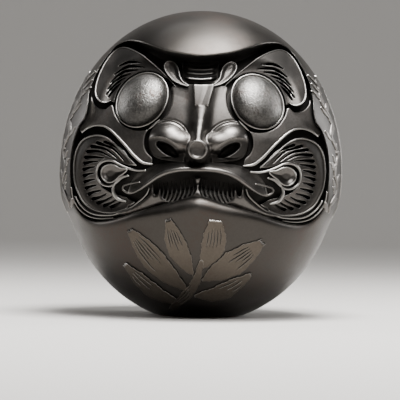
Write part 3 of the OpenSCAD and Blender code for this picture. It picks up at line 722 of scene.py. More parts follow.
def shell_piece():
    turn = math.radians(100) * BODY_R
    low, high = -35.0, 79.0
    hole = opening()
    bearing = np.arcsin(np.clip(hole[:, 0] / egg_radius(hole[:, 1]), -1, 1))
    hole = np.column_stack([BODY_R * bearing, hole[:, 1]])
    across, up = np.linspace(-turn, turn, 101), np.linspace(low, high, 58)
    frame_edge = np.vstack([np.column_stack([across, np.full(101, low)]),
                            np.column_stack([np.full(57, turn), up[1:]]),
                            np.column_stack([across[-2::-1], np.full(100, high)]),
                            np.column_stack([np.full(56, -turn), up[-2:0:-1]])])
    loops = [frame_edge, hole[::-1]]
    extra = []
    for d in (0.15, 0.4, 0.8, 1.3, 2.0, 2.9, 4.1):
        q = loops[1] + d * turned_left(tangents(loops[1], True))
        q = q[inside(q, loops)]
        extra.append(q[edge_distance(q, [loops[1]]) > 0.92 * d])
    x, v = np.meshgrid(np.arange(-turn + 1, turn, 1.8), np.arange(low + 1, high, 1.56))
    x[1::2] += 0.9
    q = np.column_stack([x.ravel(), v.ravel()])
    q = q[inside(q, loops) & (np.abs(q[:, 0]) < turn - 0.8)]
    extra.append(q[edge_distance(q, [loops[1]]) > 4.9])
    flat, faces = triangulated(loops, np.vstack(extra))
    angle, v = flat[:, 0] / BODY_R, flat[:, 1]
    d = edge_distance(flat, [loops[1]])
    round_r = edge_rounding(BODY_R * np.sin(angle), v)
    drop = round_r * (1 - np.sqrt(1 - np.clip(1 - d / round_r, 0, 1) ** 2))
    r_out, r_in = egg_radius(v), egg_radius(v, -WALL)
    outer = np.column_stack([r_out * np.sin(angle), -r_out * np.cos(angle) + drop, v + EQUATOR])
    inner = np.column_stack([r_in * np.sin(angle), -r_in * np.cos(angle), v + EQUATOR])
    near = 1 - smooth01(d / 6)
    inner[:, 0] += near * (outer[:, 0] - inner[:, 0])
    inner[:, 1] += near * np.maximum(0, outer[:, 1] + 1.2 - inner[:, 1])
    n = len(flat)
    rim = np.array([e for e in open_edges(faces) if d[e[0]] < 1e-3 and d[e[1]] < 1e-3])
    a, b = rim.T
    parts = [(outer, faces.tolist()), (inner, faces[:, ::-1].tolist()),
             (np.vstack([outer, inner]), np.column_stack([b, a, n + a, n + b]).tolist())]

    def rows(heights, radii, angles):
        r, h = np.asarray(radii, float)[:, None], np.asarray(heights, float)[:, None]
        grid = np.stack([r * np.sin(angles), -r * np.cos(angles), h + 0 * angles + EQUATOR], -1)
        m, k = len(heights), len(angles)
        i, j = np.meshgrid(np.arange(m - 1), np.arange(k - 1), indexing="ij")
        quads = np.stack([i * k + j, i * k + j + 1, (i + 1) * k + j + 1, (i + 1) * k + j], -1).reshape(-1, 4)
        return grid.reshape(-1, 3), quads.tolist()

    def inward(part):
        return part[0], [f[::-1] for f in part[1]]

    whole = np.radians(np.linspace(-180, 180, 181))
    back = np.radians(np.linspace(100, 260, 81))
    foot = SHELL_FOOT - EQUATOR
    belly_rows = -BELLY_H * np.sin(np.linspace(math.asin(-foot / BELLY_H), math.asin(-low / BELLY_H), 34))
    crown_rows = CROWN * np.sin(np.linspace(math.asin(high / CROWN), math.pi / 2, 26))
    in_low, in_crown = FLOOR_TOP - EQUATOR, CROWN - WALL
    in_belly = -(BELLY_H - WALL) * np.sin(np.linspace(math.asin(-in_low / (BELLY_H - WALL)),
                                                      math.asin(-low / (BELLY_H - WALL)), 20))
    in_top = in_crown * np.sin(np.linspace(math.asin(high / in_crown), math.pi / 2, 14))
    base = [(float(egg_radius(foot)), SHELL_FOOT)]
    for radius, top in BASE_STEPS:
        base += [(radius, base[-1][1]), (radius, top)]
    base.append((float(egg_radius(in_low, -WALL)), FLOOR_TOP))
    parts += [rows(belly_rows, egg_radius(belly_rows), whole), rows(up, egg_radius(up), back),
              rows(crown_rows, egg_radius(crown_rows), whole),
              inward(rows(in_belly, egg_radius(in_belly, -WALL), whole)),
              inward(rows(up, egg_radius(up, -WALL), back)),
              inward(rows(in_top, egg_radius(in_top, -WALL), whole)),
              inward(rows([h - EQUATOR for _, h in base], [r for r, _ in base], whole))]
    shell = welded(*joined(parts))

    # Darker ground in the flank strip, round the raised strokes
    def flank_ground(x, y, v):
        along = smooth01((y + 46) / 4) * smooth01((-11 - y) / 2)
        return 0.5 * along * smooth01((v + 26) / 6) * smooth01((60 - v) / 8) * (np.abs(x) > 40)

    finished("shell", [shell], material_for("blackened shell steel"), "shell_steel", ["shell"],
             in_recess=False, shade=flank_ground)


def cove_width(x, v):
    """How far the wall of the recess curls inward on its way down: widest below the middle of the hood."""
    hood = smooth01((v - 56) / 8) * (1 - 0.55 * smooth01((np.abs(x) - 14) / 20))
    return 1.6 + 4.2 * hood


def recess_wall():
    edge = opening()
    inward = turned_left(tangents(edge, True))
    x, v = edge.T
    top = -np.sqrt(np.maximum(egg_radius(v) ** 2 - x**2, 1)) + edge_rounding(x, v)
    c = cove_width(x, v)
    foot = edge + inward * c[:, None]
    floor = on_face(foot[:, 0], foot[:, 1], -1.4)[:, 1]
    depth = np.maximum(floor - top, 1.0)
    rows = []
    for a in np.radians(np.linspace(0, 90, 15)):
        u = edge + inward * (0.12 + c * (1 - math.cos(a)))[:, None]
        rows.append(np.column_stack([u[:, 0], top + depth * math.sin(a), u[:, 1] + EQUATOR]))
    for inset, back in ((c + 3, 0.6), (c + 3, 3.5), (np.full(len(c), -1.5), 4.5)):
        u = edge + inward * inset[:, None]
        rows.append(np.column_stack([u[:, 0], top + depth + back, u[:, 1] + EQUATOR]))
    rows.append(np.column_stack([edge[:, 0], np.minimum(top + 2.5, top + depth), edge[:, 1] + EQUATOR]))
    wall = loft(np.stack(rows, 1), True)
    # The cove wall gets less of the patina and painted shade than its depth in the recess gives
    finished("recess_wall", [wall], material_for("blackened panel steel"), "panel_steel", ["face_frame"],
             shade=lambda x, y, v: -0.45)


# ---------------------------------------------------------------- relief of the face
LIP = [(0, 0.9, 7.5, 1.3), (9, 0.7, 7.5, 1.3), (16, -0.8, 7.2, 1.3), (21, -3, 6.7, 1.25),
       (26, -6.5, 5.8, 1.05), (31, -10, 4.7, 0.8), (35, -12, 4.1, 0.65), (38, -12.2, 3.8, 0.58),
       (40.5, -10.6, 3.7, 0.55), (40.4, -8.6, 3.7, 0.52), (38, -7.6, 3.7, 0.5),
       (34.5, -6.8, 3.9, 0.45), (31, -6.2, 4.1, 0.4)]


def lip_curve():
    right = np.array(LIP)
    left = right[:0:-1] * [-1, 1, 1, 1]
    return np.vstack([left, right])


def bulge(x, v, centre, radii, power=2.0):
    rho = np.sqrt(((x - centre[0]) / radii[0]) ** 2 + ((v - centre[1]) / radii[1]) ** 2)
    return np.exp(-(rho**power))


def either_side(x, v, centre, radii, power=2.0):
    return bulge(np.abs(x), v, centre, radii, power)


def panel_floor(x, v, d):
    """The sheet at the bottom: a hollow for the mouth, and a muzzle that swells between nose and lip."""
    mouth = smooth01(1.5 - np.hypot(x / 27, (v + 9) / 7.5))
    muzzle = bulge(x, v, (0, 3), (24, 5.5))
    return -1.0 - 2.2 * mouth + 1.8 * muzzle + 0.8 * either_side(x, v, (31, -2), (8, 5))


def skin_height(x, v, d):
    """Smooth skin below the eye: it swells at the cheekbone and turns up towards the ridge."""
    return 2.5 + 0.9 * bulge(x, v, (40, 18), (11, 5)) + 0.7 * bulge(x, v, (57, 27), (7, 7))


def muzzle_plate():
    """The upper lip, which slopes up to the lip's crest and runs out to the corners of the mouth."""
    crest = spline(lip_curve()[5:-5, :2], 0.6)
    upper = spline([(36, -5.6), (33, -1.6), (28, 1.2), (20, 4.0), (10, 5.2), (0, 5.4), (-10, 5.2), (-20, 4.0),
                    (-28, 1.2), (-33, -1.6), (-36, -5.6)], 0.6)
    loop = np.vstack([crest, upper])

    def height(x, v, d):
        away = edge_distance(np.column_stack([x, v]), [crest], closed=False)
        reach = smooth01(1 - away / 6.0)
        return 1.6 + (4.6 - 1.6 * smooth01((np.abs(x) - 18) / 16)) * reach

    return plate([loop], height, step=0.7, soft=0.3)


def panel_piece():
    material = material_for("blackened panel steel")
    sheet = plate([opening(0.5)], panel_floor, step=1.3, soft=0.3, foot=-4.0)
    skin = plate([spline(SKIN, 0.6, True)], skin_height, soft=0.6)
    # Painted shade over the muzzle below the nose
    finished("face_panel", [sheet, skin, mirrored(skin), muzzle_plate()], material, "panel_steel",
             ["face_panel"], shade=lambda x, y, v: 0.75 * bulge(x, v, (0, 2), (30, 6), 4))


def brow_outline():
    rim = spline(BROW_RIM, 0.55)
    lower = arc(EYE_AT, EYE_SOCKET, EYE_LEAN, 53, 184, 0.55)
    return np.vstack([rim[:-1], lower])


def brow_height(x, v, d=0):
    rho = oval_radius(x, v, EYE_AT, EYE_SOCKET, EYE_LEAN)
    return 3.0 + 3.4 * smooth01((rho - 1) / 0.62)


def brow_pieces():
    steel = material_for("blackened relief steel")
    slots = [band(line, (0.5, 1.7, 1.5, 0.6)) for line in BROW_SLOTS]
    dish = plate([brow_outline()] + slots, brow_height, step=0.75, soft=0.3)
    rim = spline([(12.8, 45.6), (15, 48.2)] + BROW_RIM, 0.6)
    lift = np.minimum(brow_height(rim[:, 0], rim[:, 1]), 6.4)
    thick = 0.36 * smooth01(np.linspace(0, 12, len(rim)) + 0.2) * smooth01(np.linspace(14, 0.4, len(rim)))
    wire = np.column_stack([rim, lift + 0.05, np.maximum(thick, 0.12)])
    # Painted shade over the dish inward of the outer pad
    pair("brow_plate", [dish, ribs([wire[::3]], steel)], steel, "relief_steel",
         shade=lambda x, y, v: 0.9 * smooth01((53 - np.abs(x)) / 7))


def forehead_pieces():
    steel = material_for("blackened relief steel")
    block = [(-9, 48.6), (0, 47.9), (9, 48.6), (10, 52), (10, 57.5), (9, 61), (0, 62),
             (-9, 61), (-10, 57.5), (-10, 52)]

    def rolls(x, v, d):
        sag = v + 1.1 * (1 - (x / 9) ** 2)
        waves = sum(h * np.exp(-((sag - at) / w) ** 2) for at, h, w in ((59.6, 0.7, 0.9), (56.8, 1.2, 0.9),
                                                                        (54.4, 1.5, 0.8), (51.4, 3.2, 1.0)))
        return 1.2 + waves * smooth01((9.5 - np.abs(x)) / 3.5)

    bar = plate([spline(block, 0.6, True)], rolls, step=0.5, soft=0.5)
    # Painted shade over the bar, deepest on the upper rolls under the hood
    finished("forehead_bar", [bar], steel, "relief_steel", ["forehead_bar"],
             shade=lambda x, y, v: 0.3 + 0.5 * smooth01((v - 51.5) / 2))
    loop = spline(FORE_DROP, 0.5, True)

    def drop(x, v, d):
        return 4.6 - 0.9 * smooth01(d / 2.2)

    rim = spline(FORE_DROP, 1.2, True)
    wire = np.column_stack([rim, np.full(len(rim), 4.5), np.full(len(rim), 0.4)])
    # Painted shade over the whole drops
    pair("forehead_drop", [plate([loop], drop, step=0.6, soft=0.25), ribs([wire], steel, closed=True)], steel,
         "relief_steel", shade=lambda x, y, v: 0.5)


# Where a wing's lit top turns under, as half width and height
NOSE_TURN = ((0, 4, 5.5, 9, 12.7, 16, 18, 22, 25, 27.5), (2, 6.4, 8.4, 12, 14.8, 16.9, 17.7, 18.3, 18, 16.5))
# How far the bridge leans sideways for each millimetre of height
NOSE_LEAN = 0.08


def nose_mass(side, v):
    """Bridge, wing and tip melted together."""
    ridge_at = np.interp(v, [3, 6, 11.4, 15, 20, 24, 28, 34, 40, 46.8],
                         [4.0, 8.0, 13.4, 12.8, 10.6, 8.6, 7.2, 6.1, 5.6, 5.2])
    spread = np.interp(v, [3, 11, 20, 30, 40, 46.8], [6.0, 5.0, 4.2, 4.8, 6.0, 7.5])
    bridge = 2.2 + (ridge_at - 2.2) * np.exp(-((side / spread) ** 2.5))
    wing = 1.2 + 8.4 * np.sqrt(np.clip(1 - wing_radius(side, v) ** 2, 0, 1))
    lobe = 1.2 + 8.2 * np.sqrt(np.clip(1 - np.hypot((side - 10.5) / 8.5, (v - 15.6) / 6.3) ** 2, 0, 1))
    tip = 14.3 * np.sqrt(np.clip(1 - np.hypot(side / 7.2, (v - 11.4) / 7.6) ** 2, 0, 1))
    return np.log(sum(np.exp(h) for h in (bridge, wing, lobe, tip)))


def wing_radius(side, v):
    return np.hypot((side - 17.4) / 10.2, (v - 16.2) / 9.6)


def nose_height(x, v, d):
    """The nose's mass, with chiselled facets, arcs above the wings, a turned-under base and nostrils."""
    x = x - NOSE_LEAN * np.clip(v - 18, 0, None)
    side = np.abs(x)
    lift = nose_mass(side, v)
    turn = np.interp(side, *NOSE_TURN)
    under = np.clip(turn - v, 0, None)
    lift = np.where(under > 0, np.minimum(lift, nose_mass(side, turn) - 0.3 - 0.42 * under), lift)
    # Facets between the eyes meet in a shallow valley
    crease = np.interp(v, [36, 45.5], [-0.2, 1.8])
    half = np.interp(v, [35.2, 46], [4.0, 5.8])
    facet = smooth01((half - side) / 0.5) * smooth01((v - 35.2) / 0.5)
    lift = lift + facet * (5.6 + 0.05 * (v - 35) + 0.14 * np.abs(x - crease) - lift)
    rho = wing_radius(side, v)
    arcs = smooth01((v - 17) / 4) * smooth01((rho - 1.02) / 0.05)
    for at, deep in ((1.1, 0.7), (1.22, 0.5)):
        lift = lift - deep * arcs * np.exp(-(((rho - at) / 0.03) ** 2))
    lean = math.radians(31)
    a = (side - 16.6) * math.cos(lean) + (v - 11.6) * math.sin(lean)
    b = -(side - 16.6) * math.sin(lean) + (v - 11.6) * math.cos(lean)
    hole = np.hypot(a / 6.4, b / 2.6)
    return np.maximum(lift - 6.5 * smooth01((1.15 - hole) / 0.5), 0.3)


def nose_shade(x, y, v):
    """The base that turns under and the nostrils keep their black, and so do the facets beside the crease."""
    side = np.abs(x)
    under = np.interp(side, *NOSE_TURN) - v
    crease, half = np.interp(v, [36, 45.5], [0.6, 3.4]), np.interp(v, [36, 45.5], [0.4, 1.3])
    facets = (smooth01((v - 34.5) / 1.5) * smooth01((np.abs(x - crease) - half) / 0.4)
              * smooth01((6.5 - side) / 0.8))
    corner = smooth01((v - 38.5 + 0.35 * (x + 6)) / 0.8) * smooth01((-x - 5.8) / 0.6)
    return 0.9 * smooth01(under / 2.0) + 0.35 * facets + 0.6 * corner


def nose_pieces():
    steel = material_for("blackened relief steel")
    outline = spline(both_halves(NOSE_HALF), 0.5, True)
    body = plate([outline], nose_height, step=0.5, soft=0.8, rings=(0.15, 0.4, 0.8))
    finished("nose", [body], steel, "relief_steel", ["nose"], shade=nose_shade)

    def seat(p):
        return np.column_stack([p[:, 0], -p[:, 2], p[:, 1] + EQUATOR + 11.4])

    front = BODY_R
    button = turned([(0, front - 6), (5.2, front - 6), (5.2, front - 0.7), (5.0, front - 0.25),
                     (4.7, front - 0.1), (4.3, front - 0.1), (4.0, front - 0.3), (3.7, front - 0.8),
                     (3.3, front - 0.95), (0, front - 0.85)], seat)
    finished("nose_tip", [welded(*button)], steel, "relief_steel", ["nose_tip"])


def eye_pieces():
    look = bpy.context.scene.daruma
    rise = look.eye_rise / MM
    eye = material_for("rubbed eye steel")
    # Painted shade on the lower part of each eye, and a little painted light on its upper part
    pair("eye", [dome(EYE_AT, EYE_DOME, EYE_LEAN, 1.6, rise)], eye, "eye_steel",
         shade=lambda x, y, v: -0.2 + 0.95 * smooth01((39 - v) / 13))
    steel = material_for("blackened relief steel")
    ring = oval(EYE_AT, EYE_RIM, EYE_LEAN, 1.2)
    wire = np.column_stack([ring, np.full(len(ring), 2.3), np.full(len(ring), 0.55)])
    pair("eye_ring", [ribs([wire], steel, closed=True)], steel, "relief_steel")


def fan_slots():
    """Slots of the cheek fan: the upper ones sweep round, the rest stand like spokes."""
    outer = [(51.6, 15.3), (55.9, 15), (59.2, 13.1), (61.5, 10.2), (62.6, 7), (63.2, 3.7), (63.4, 0.3),
             (63.3, -3.1), (62.9, -6.5), (62, -9.9), (60.4, -13.2), (58.2, -15.9), (55.2, -18), (51.4, -19.4),
             (47.3, -19.9)]
    inner = [(36.2, 4.4), (40.4, 5.4), (44.4, 6.6), (48.2, 7.3), (51.9, 6.7), (55.2, 4.9), (57, 1.8),
             (57.4, -1.6), (56.9, -5), (55.6, -8.2), (53.3, -11), (50.4, -13), (47.2, -14.4),
             (43.9, -15.4), (40.6, -16)]
    slots = []
    for k, (a, b) in enumerate(zip(inner, outer)):
        a, b = np.array(a), np.array(b)
        chord = b - a
        side = np.array([-chord[1], chord[0]])
        bow = 0.11 if k < 4 else 0.03 if k < 11 else -0.05
        slots.append(band([a, (a + b) / 2 + side * bow, b], (0.6, 1.3, 1.9)))
    return slots


def cheek_pieces():
    steel = material_for("blackened relief steel")
    outer = spline(CHEEK_OUTER, 0.55)
    inner = spline([(34, -17.4), (39, -14.6), (44.5, -13.2), (49.5, -11.2), (53.6, -8), (55.6, -3.5),
                    (55.9, 1), (53.8, 4.6), (50, 6.1), (46, 5.6), (42, 4), (37.5, 2.6)], 0.55)

    def fan_radius(x, v):
        return np.hypot((x - 47) / 16.4, (v + 2.5) / 17.6)

    def height(x, v, d):
        rho = fan_radius(x, v)
        return 1.9 + 1.1 * smooth01((rho - 0.98) / 0.25) + 0.5 * smooth01((0.7 - rho) / 0.3)

    fan = plate([np.vstack([outer, inner])] + fan_slots(), height, step=0.8, soft=0.35)
    lift = height(outer[:, 0], outer[:, 1], 0)
    wire = np.column_stack([outer, lift + 0.1, np.full(len(outer), 0.45)])
    # Painted shade on the fan's outer band
    pair("cheek_plate", [fan, ribs([wire[::3]], steel)], steel, "relief_steel",
         shade=lambda x, y, v: 0.55 * smooth01((fan_radius(np.abs(x), v) - 0.8) / 0.2))

    def dish(x, v, d):
        return 4.3 - 1.5 * smooth01(d / 3.2)

    edge = spline(CHEEK_DROP, 1.2, True)
    drop_rim = np.column_stack([edge, np.full(len(edge), 4.2), np.full(len(edge), 0.4)])
    ring = [(x, v, h - 0.4, 0.55) for x, v, h in DROP_RING]
    drop = plate([spline(CHEEK_DROP, 0.45, True)], dish, step=0.5, soft=0.25)
    rims = [ribs([drop_rim], steel, closed=True), ribs([ring], steel, 1.15)]
    pair("cheek_drop", [drop, *rims], steel, "relief_steel")

    crest = [(24.2, 3.4, 2.6, 0.35), (27, 3.6, 3.0, 0.6), (30.5, 4.5, 3.3, 0.8), (35, 8.2, 3.5, 0.85),
             (39, 12.7, 3.6, 0.8), (43, 16.9, 3.7, 0.7), (47.7, 21.3, 3.7, 0.6), (52, 23.9, 3.6, 0.5),
             (57, 24.4, 3.4, 0.45), (61.5, 23, 3.2, 0.4), (65, 20.6, 2.9, 0.35)]
    pair("cheek_ridge", [ribs([crest], steel)], steel, "relief_steel")


def mouth_pieces():
    steel = material_for("blackened relief steel")
    scale = bpy.context.scene.daruma.lip_scale
    curve = lip_curve()
    curve[:, 3] *= scale
    surround = [(37.5, -3.0, 2.4, 0.4), (41.5, -3.5, 2.8, 0.5), (44.4, -5.9, 3.1, 0.6), (46, -9, 3.3, 0.8),
                (45.7, -12.4, 3.3, 1.1), (43.4, -15.6, 3.0, 1.0), (39, -16.9, 2.6, 0.5)]
    hooks = ribs([surround], steel)
    finished("lip_band", [ribs([curve], steel, sides=14, spacing=0.5), hooks, mirrored(hooks)], steel,
             "relief_steel", ["lip_band"])
    right = [(1.6, -3.4), (1.1, -5.5), (0.9, -7.5), (1.4, -10), (2.6, -12.6), (3.6, -14.4)]
    loop = np.vstack([spline(right, 0.5)[::-1], spline([(-x, v) for x, v in right], 0.5)])
    post = plate([loop], lambda x, v, d: 1.5 + 3.2 * smooth01((-6 - v) / 7) + 0.5 * smooth01(d / 1.0),
                 step=0.5, soft=0.4)
    finished("mouth_post", [post], steel, "relief_steel", ["mouth_post"])
    teeth = []
    for k in range(9):
        top = np.array([2.6 + 2.3 * k, -4.2 - 0.32 * k])
        foot = np.array([4.6 + 2.35 * k, -15.6 - 0.3 * k])
        belly = (top + foot) / 2 + [-1.5, 0.0]
        teeth.append([(*top, -0.4, 0.3), (*belly, 1.6, 0.45), (*((belly + foot) / 2 + [0.1, -1.2]), 2.8, 0.6),
                      (*foot, 3.0, 0.6)])

    # Painted shade on the upper part of the ribs; on the right-hand comb the feet get painted light
    def comb_shade(x, y, v):
        return smooth01((v + 12) / 3) - (0.45 + 0.45 * np.sign(x)) * smooth01((-12 - v) / 1.6)

    pair("beard_comb", [ribs(teeth, steel)], steel, "relief_steel", shade=comb_shade)
    fang_sides = ([(24.5, -7.6), (25.1, -11.7), (28.7, -15.5), (35.4, -20.0), (45, -23.6)],
                  [(45, -23.6), (38, -24.0), (30, -21.8), (22, -18.8), (16, -16.8)],
                  [(16, -16.8), (19.4, -13.6), (20.2, -9.6)],
                  [(20.2, -9.6), (21.6, -12.4), (23.4, -12.6), (24.5, -7.6)])
    fang_edge = np.vstack([spline(side, 0.5)[:-1] for side in fang_sides])
    fang = plate([fang_edge], lambda x, v, d: 4.2 + 0.5 * smooth01(d / 1.5), step=0.6, soft=0.3)
    jaw = [(26.2, -9.2, 2.6, 0.35), (27.6, -12.8, 2.8, 0.45), (31.4, -16.6, 2.9, 0.5),
           (37.2, -20.8, 2.9, 0.5), (45, -24.1, 2.8, 0.5), (54, -24.6, 2.8, 0.5),
           (60, -23.1, 2.9, 0.5), (65, -19.4, 3.0, 0.45), (68.2, -14.6, 3.0, 0.4)]
    second = [(46, -26.0, 1.8, 0.4), (54, -26.6, 2.0, 0.45), (61, -25.0, 2.2, 0.45), (66.4, -21.0, 2.4, 0.45),
              (69.6, -15.6, 2.6, 0.4), (70.6, -9.6, 2.8, 0.35)]
    pair("jaw_ridge", [fang, ribs([jaw, second], steel)], steel, "relief_steel")


# ---------------------------------------------------------------- brush strokes on belly and flanks
# A leafy sprig: the stem, then its leaves, each with its widths along the stroke
BELLY_STROKES = [([(3, -48), (-2, -63), (-14, -76)], (2.5, 4.5, 5.5, 3)),
                 ([(-5, -65), (-20, -52), (-36, -33)], (2, 9, 13, 11, 3.5)),
                 ([(-2, -56), (-10, -42), (-15, -27)], (2, 8.5, 11.5, 9.5, 3.5)),
                 ([(-10, -72), (-24, -66), (-39, -52)], (2, 7, 9, 7, 2.5)),
                 ([(3, -52), (9, -40), (10, -27)], (3, 9.5, 13, 12, 7)),
                 ([(3, -59), (19, -50), (35, -38)], (2, 10, 14, 11, 4)),
                 ([(-1, -68), (13, -66), (29, -56)], (2, 7, 9.5, 7, 2.5))]


def brush(line, widths, seed, streaks):
    """A dry-brush stroke: wavering sides, bristle tips at its end, and streaks where the brush ran dry."""
    rng = np.random.default_rng(seed)
    path = spline(line, 0.45)
    count = len(path)
    t = np.linspace(0, 1, count)
    half = np.interp(t, np.linspace(0, 1, len(widths)), widths) / 2 * np.minimum(1, 0.6 + t * 6)
    way = tangents(path, False)
    side = turned_left(way)

    def waver():
        a, b, c = rng.uniform(0, 6.3, 3)
        return 0.16 * np.sin(t * 21 + a) + 0.12 * np.sin(t * 47 + b) + 0.07 * np.sin(t * 90 + c)

    left, right = path + side * (half + waver())[:, None], path - side * (half + waver())[:, None]
    across = np.linspace(0.8, -0.8, 2 * max(2, int(widths[-1] / 0.8)) + 1)
    reach = np.where(np.arange(len(across)) % 2 == 0, rng.uniform(0.7, 1.6, len(across)),
                     rng.uniform(-0.6, 0.1))
    tips = path[-1] + side[-1] * half[-1] * across[:, None] + way[-1] * reach[:, None]
    start = path[0] - way[0] * 0.3
    outline = np.vstack([left, tips, right[::-1], start])
    holes = []
    for s in np.linspace(-0.55, 0.55, streaks) if streaks else []:
        a = rng.uniform(0.42, 0.62)
        b = rng.uniform(0.78, 0.9)
        part = (t > a) & (t < b)
        middle = path[part] + side[part] * (half[part] * s)[:, None]
        thin = 0.24 * np.sin(np.linspace(0.25, math.pi - 0.25, len(middle)))[:, None]
        holes.append(np.vstack([middle + side[part] * thin, (middle - side[part] * thin)[::-1]]))
    return [outline] + holes


def emblem_pieces():
    bronze = material_for("emblem bronze")
    rise = bpy.context.scene.daruma.emblem_rise / MM
    strokes = []
    for k, (line, widths) in enumerate(BELLY_STROKES):
        loops = brush(line, widths, 11 + k, 5 if widths[1] > 8 else 3)
        lift = rise - 0.03 * k
        strokes.append(plate(loops, lambda x, v, d, lift=lift: np.full(len(x), lift), place=on_belly,
                             step=1.4, soft=0.12, foot=-0.8, rings=(0.1, 0.3)))
    finished("belly_emblem", strokes, bronze, "emblem_bronze", ["belly_emblem"], in_recess=False)
    steel = material_for("blackened relief steel")

    def stem(v):
        return -26 + 3.2 * math.sin((54 - v) * 2 * math.pi / 19)

    down = np.linspace(55, -21, 60)
    vine = [band(np.column_stack([[stem(v) for v in down], down]), (1.0, 1.8, 1.8, 1.8, 1.0))]
    leaf = np.array([(0, 0), (4.6, 3.6), (10.4, 4.6)])
    bud = np.array([(0, -2.6), (-3.4, -0.6), (-6.4, 2.2)])
    for k, v in enumerate(np.arange(48, -19, -6.6)):
        # Leaves on the side of the opening are shorter, so that they end before its edge
        way = [-0.5 if k % 2 else 1, 1]
        vine.append(band((stem(v), v) + leaf * way, (1.0, 3.2, 3.6, 1.8, 0.5)))
        vine.append(band((stem(v), v) + bud * way, (0.9, 2.4, 2.2, 0.6)))
    plates = [plate([loop], lambda x, v, d, lift=rise - 0.02 * k: np.full(len(x), lift), place=on_flank,
                    step=1.4, soft=0.25, foot=-0.8, rings=(0.15, 0.35)) for k, loop in enumerate(vine)]
    border = [(-9, 56, 0.0, 0.4), (-9.5, 40, 0.0, 0.5), (-10, 20, 0.0, 0.5), (-10, 0, 0.0, 0.5),
              (-10, -16, 0.0, 0.45), (-12, -24, 0.0, 0.35)]
    inner = [(y - 2.0, v, h, r * 0.7) for y, v, h, r in border]
    plates.append(ribs([border, inner], steel, place=on_flank, spacing=1.0))
    pair("flank_emblem", plates, steel, "shell_steel", in_recess=False)


# ---------------------------------------------------------------- stage
def stage_piece():
    look = bpy.context.scene.daruma
    pale = studio_paper("studio paper", linear(look.paper))
    # A floor that curves up into a wall all round
    flat, bend = 2.0, 1.2
    profile = [(0.4, 0.0), (1.2, 0.0), (flat, 0.0)]
    profile += [(flat + bend * math.sin(a), bend - bend * math.cos(a))
                for a in np.radians(np.linspace(5, 90, 18))]
    profile += [(flat + bend, 3.0)]
    around = 96
    points, faces = turned(profile, lambda p: p, around)
    faces = [f[::-1] for f in faces]
    points = np.vstack([points, [[0, 0, 0]]]).tolist()
    faces += [(k, (k + 1) % around, len(points) - 1) for k in range(around)]
    mesh = bpy.data.meshes.new("backdrop")
    mesh.from_pydata(points, [], faces)
    mesh.polygons.foreach_set("use_smooth", np.ones(len(mesh.polygons), bool))
    mesh.materials.append(pale)
    floor = bpy.data.objects.new("backdrop", mesh)
    bpy.context.scene.collection.objects.link(floor)

    def softbox(name, at, target, size, power):
        light = bpy.data.lights.new(name, "AREA")
        light.shape, light.size, light.size_y = "RECTANGLE", size[0], size[1]
        light.energy = power
        lamp = bpy.data.objects.new(name, light)
        lamp.location = at
        lamp.rotation_euler = (Vector(target) - Vector(at)).to_track_quat("-Z", "Y").to_euler()
        bpy.context.scene.collection.objects.link(lamp)

    key = look.key_power
    softbox("overhead", (0.10, -0.13, 0.78), (0, 0, 0.08), (0.38, 0.32), key)
    softbox("front", (0.16, -0.52, 0.72), (0, 0, 0.09), (0.45, 0.36), key * 0.34)
    softbox("side_left", (-0.66, 0.30, 0.30), (0, 0, 0.08), (0.12, 0.4), key * 0.10)
    softbox("side_right", (0.66, 0.34, 0.26), (0, 0, 0.07), (0.16, 0.4), key * 0.20)
    softbox("backdrop_light", (0, 1.2, 2.2), (0, 3.0, 0.3), (1.6, 0.5), key * 1.1)
    world = bpy.data.worlds.new("studio")
    world.use_nodes = True
    world.node_tree.nodes["Background"].inputs["Color"].default_value = (0.80, 0.84, 0.9, 1)
    world.node_tree.nodes["Background"].inputs["Strength"].default_value = look.ambient
    bpy.context.scene.world = world

    azimuth, far = math.radians(1.5), 1.2
    target = Vector((-0.0003, 0.0, 0.0656))
    way = Vector((math.sin(azimuth), -math.cos(azimuth), 0.0))
    camera = bpy.data.cameras.new("camera")
    camera.sensor_width, camera.lens = 36, 36 * far / 0.2278
    holder = bpy.data.objects.new("camera", camera)
    holder.location = target + way * far
    look_at = (-way).to_track_quat("-Z", "Y")
    holder.rotation_euler = look_at.to_euler()
    holder.rotation_euler.rotate_axis("Z", math.radians(1.0))
    bpy.context.scene.collection.objects.link(holder)
    bpy.context.scene.camera = holder


def dress_carried_over():
    """Gives the parts that keep their packed shape a real finish."""
    kinds = {"foot_pad": "pressed felt", "ballast": "cast ballast iron", "base_plate": "ground steel",
             "base_screws": "ground steel", "ballast_bolt": "ground steel",
             "face_panel_screws": "ground steel"}
    for name, kind in kinds.items():
        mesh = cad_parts[name].data
        mesh.materials.clear()
        mesh.materials.append(material_for(kind))


# ---------------------------------------------------------------- add-on
def colour_property(name, text, value):
    return bpy.props.FloatVectorProperty(name=name, description=text, subtype="COLOR", size=3, min=0, max=1,
                                         default=linear(value)[:3])


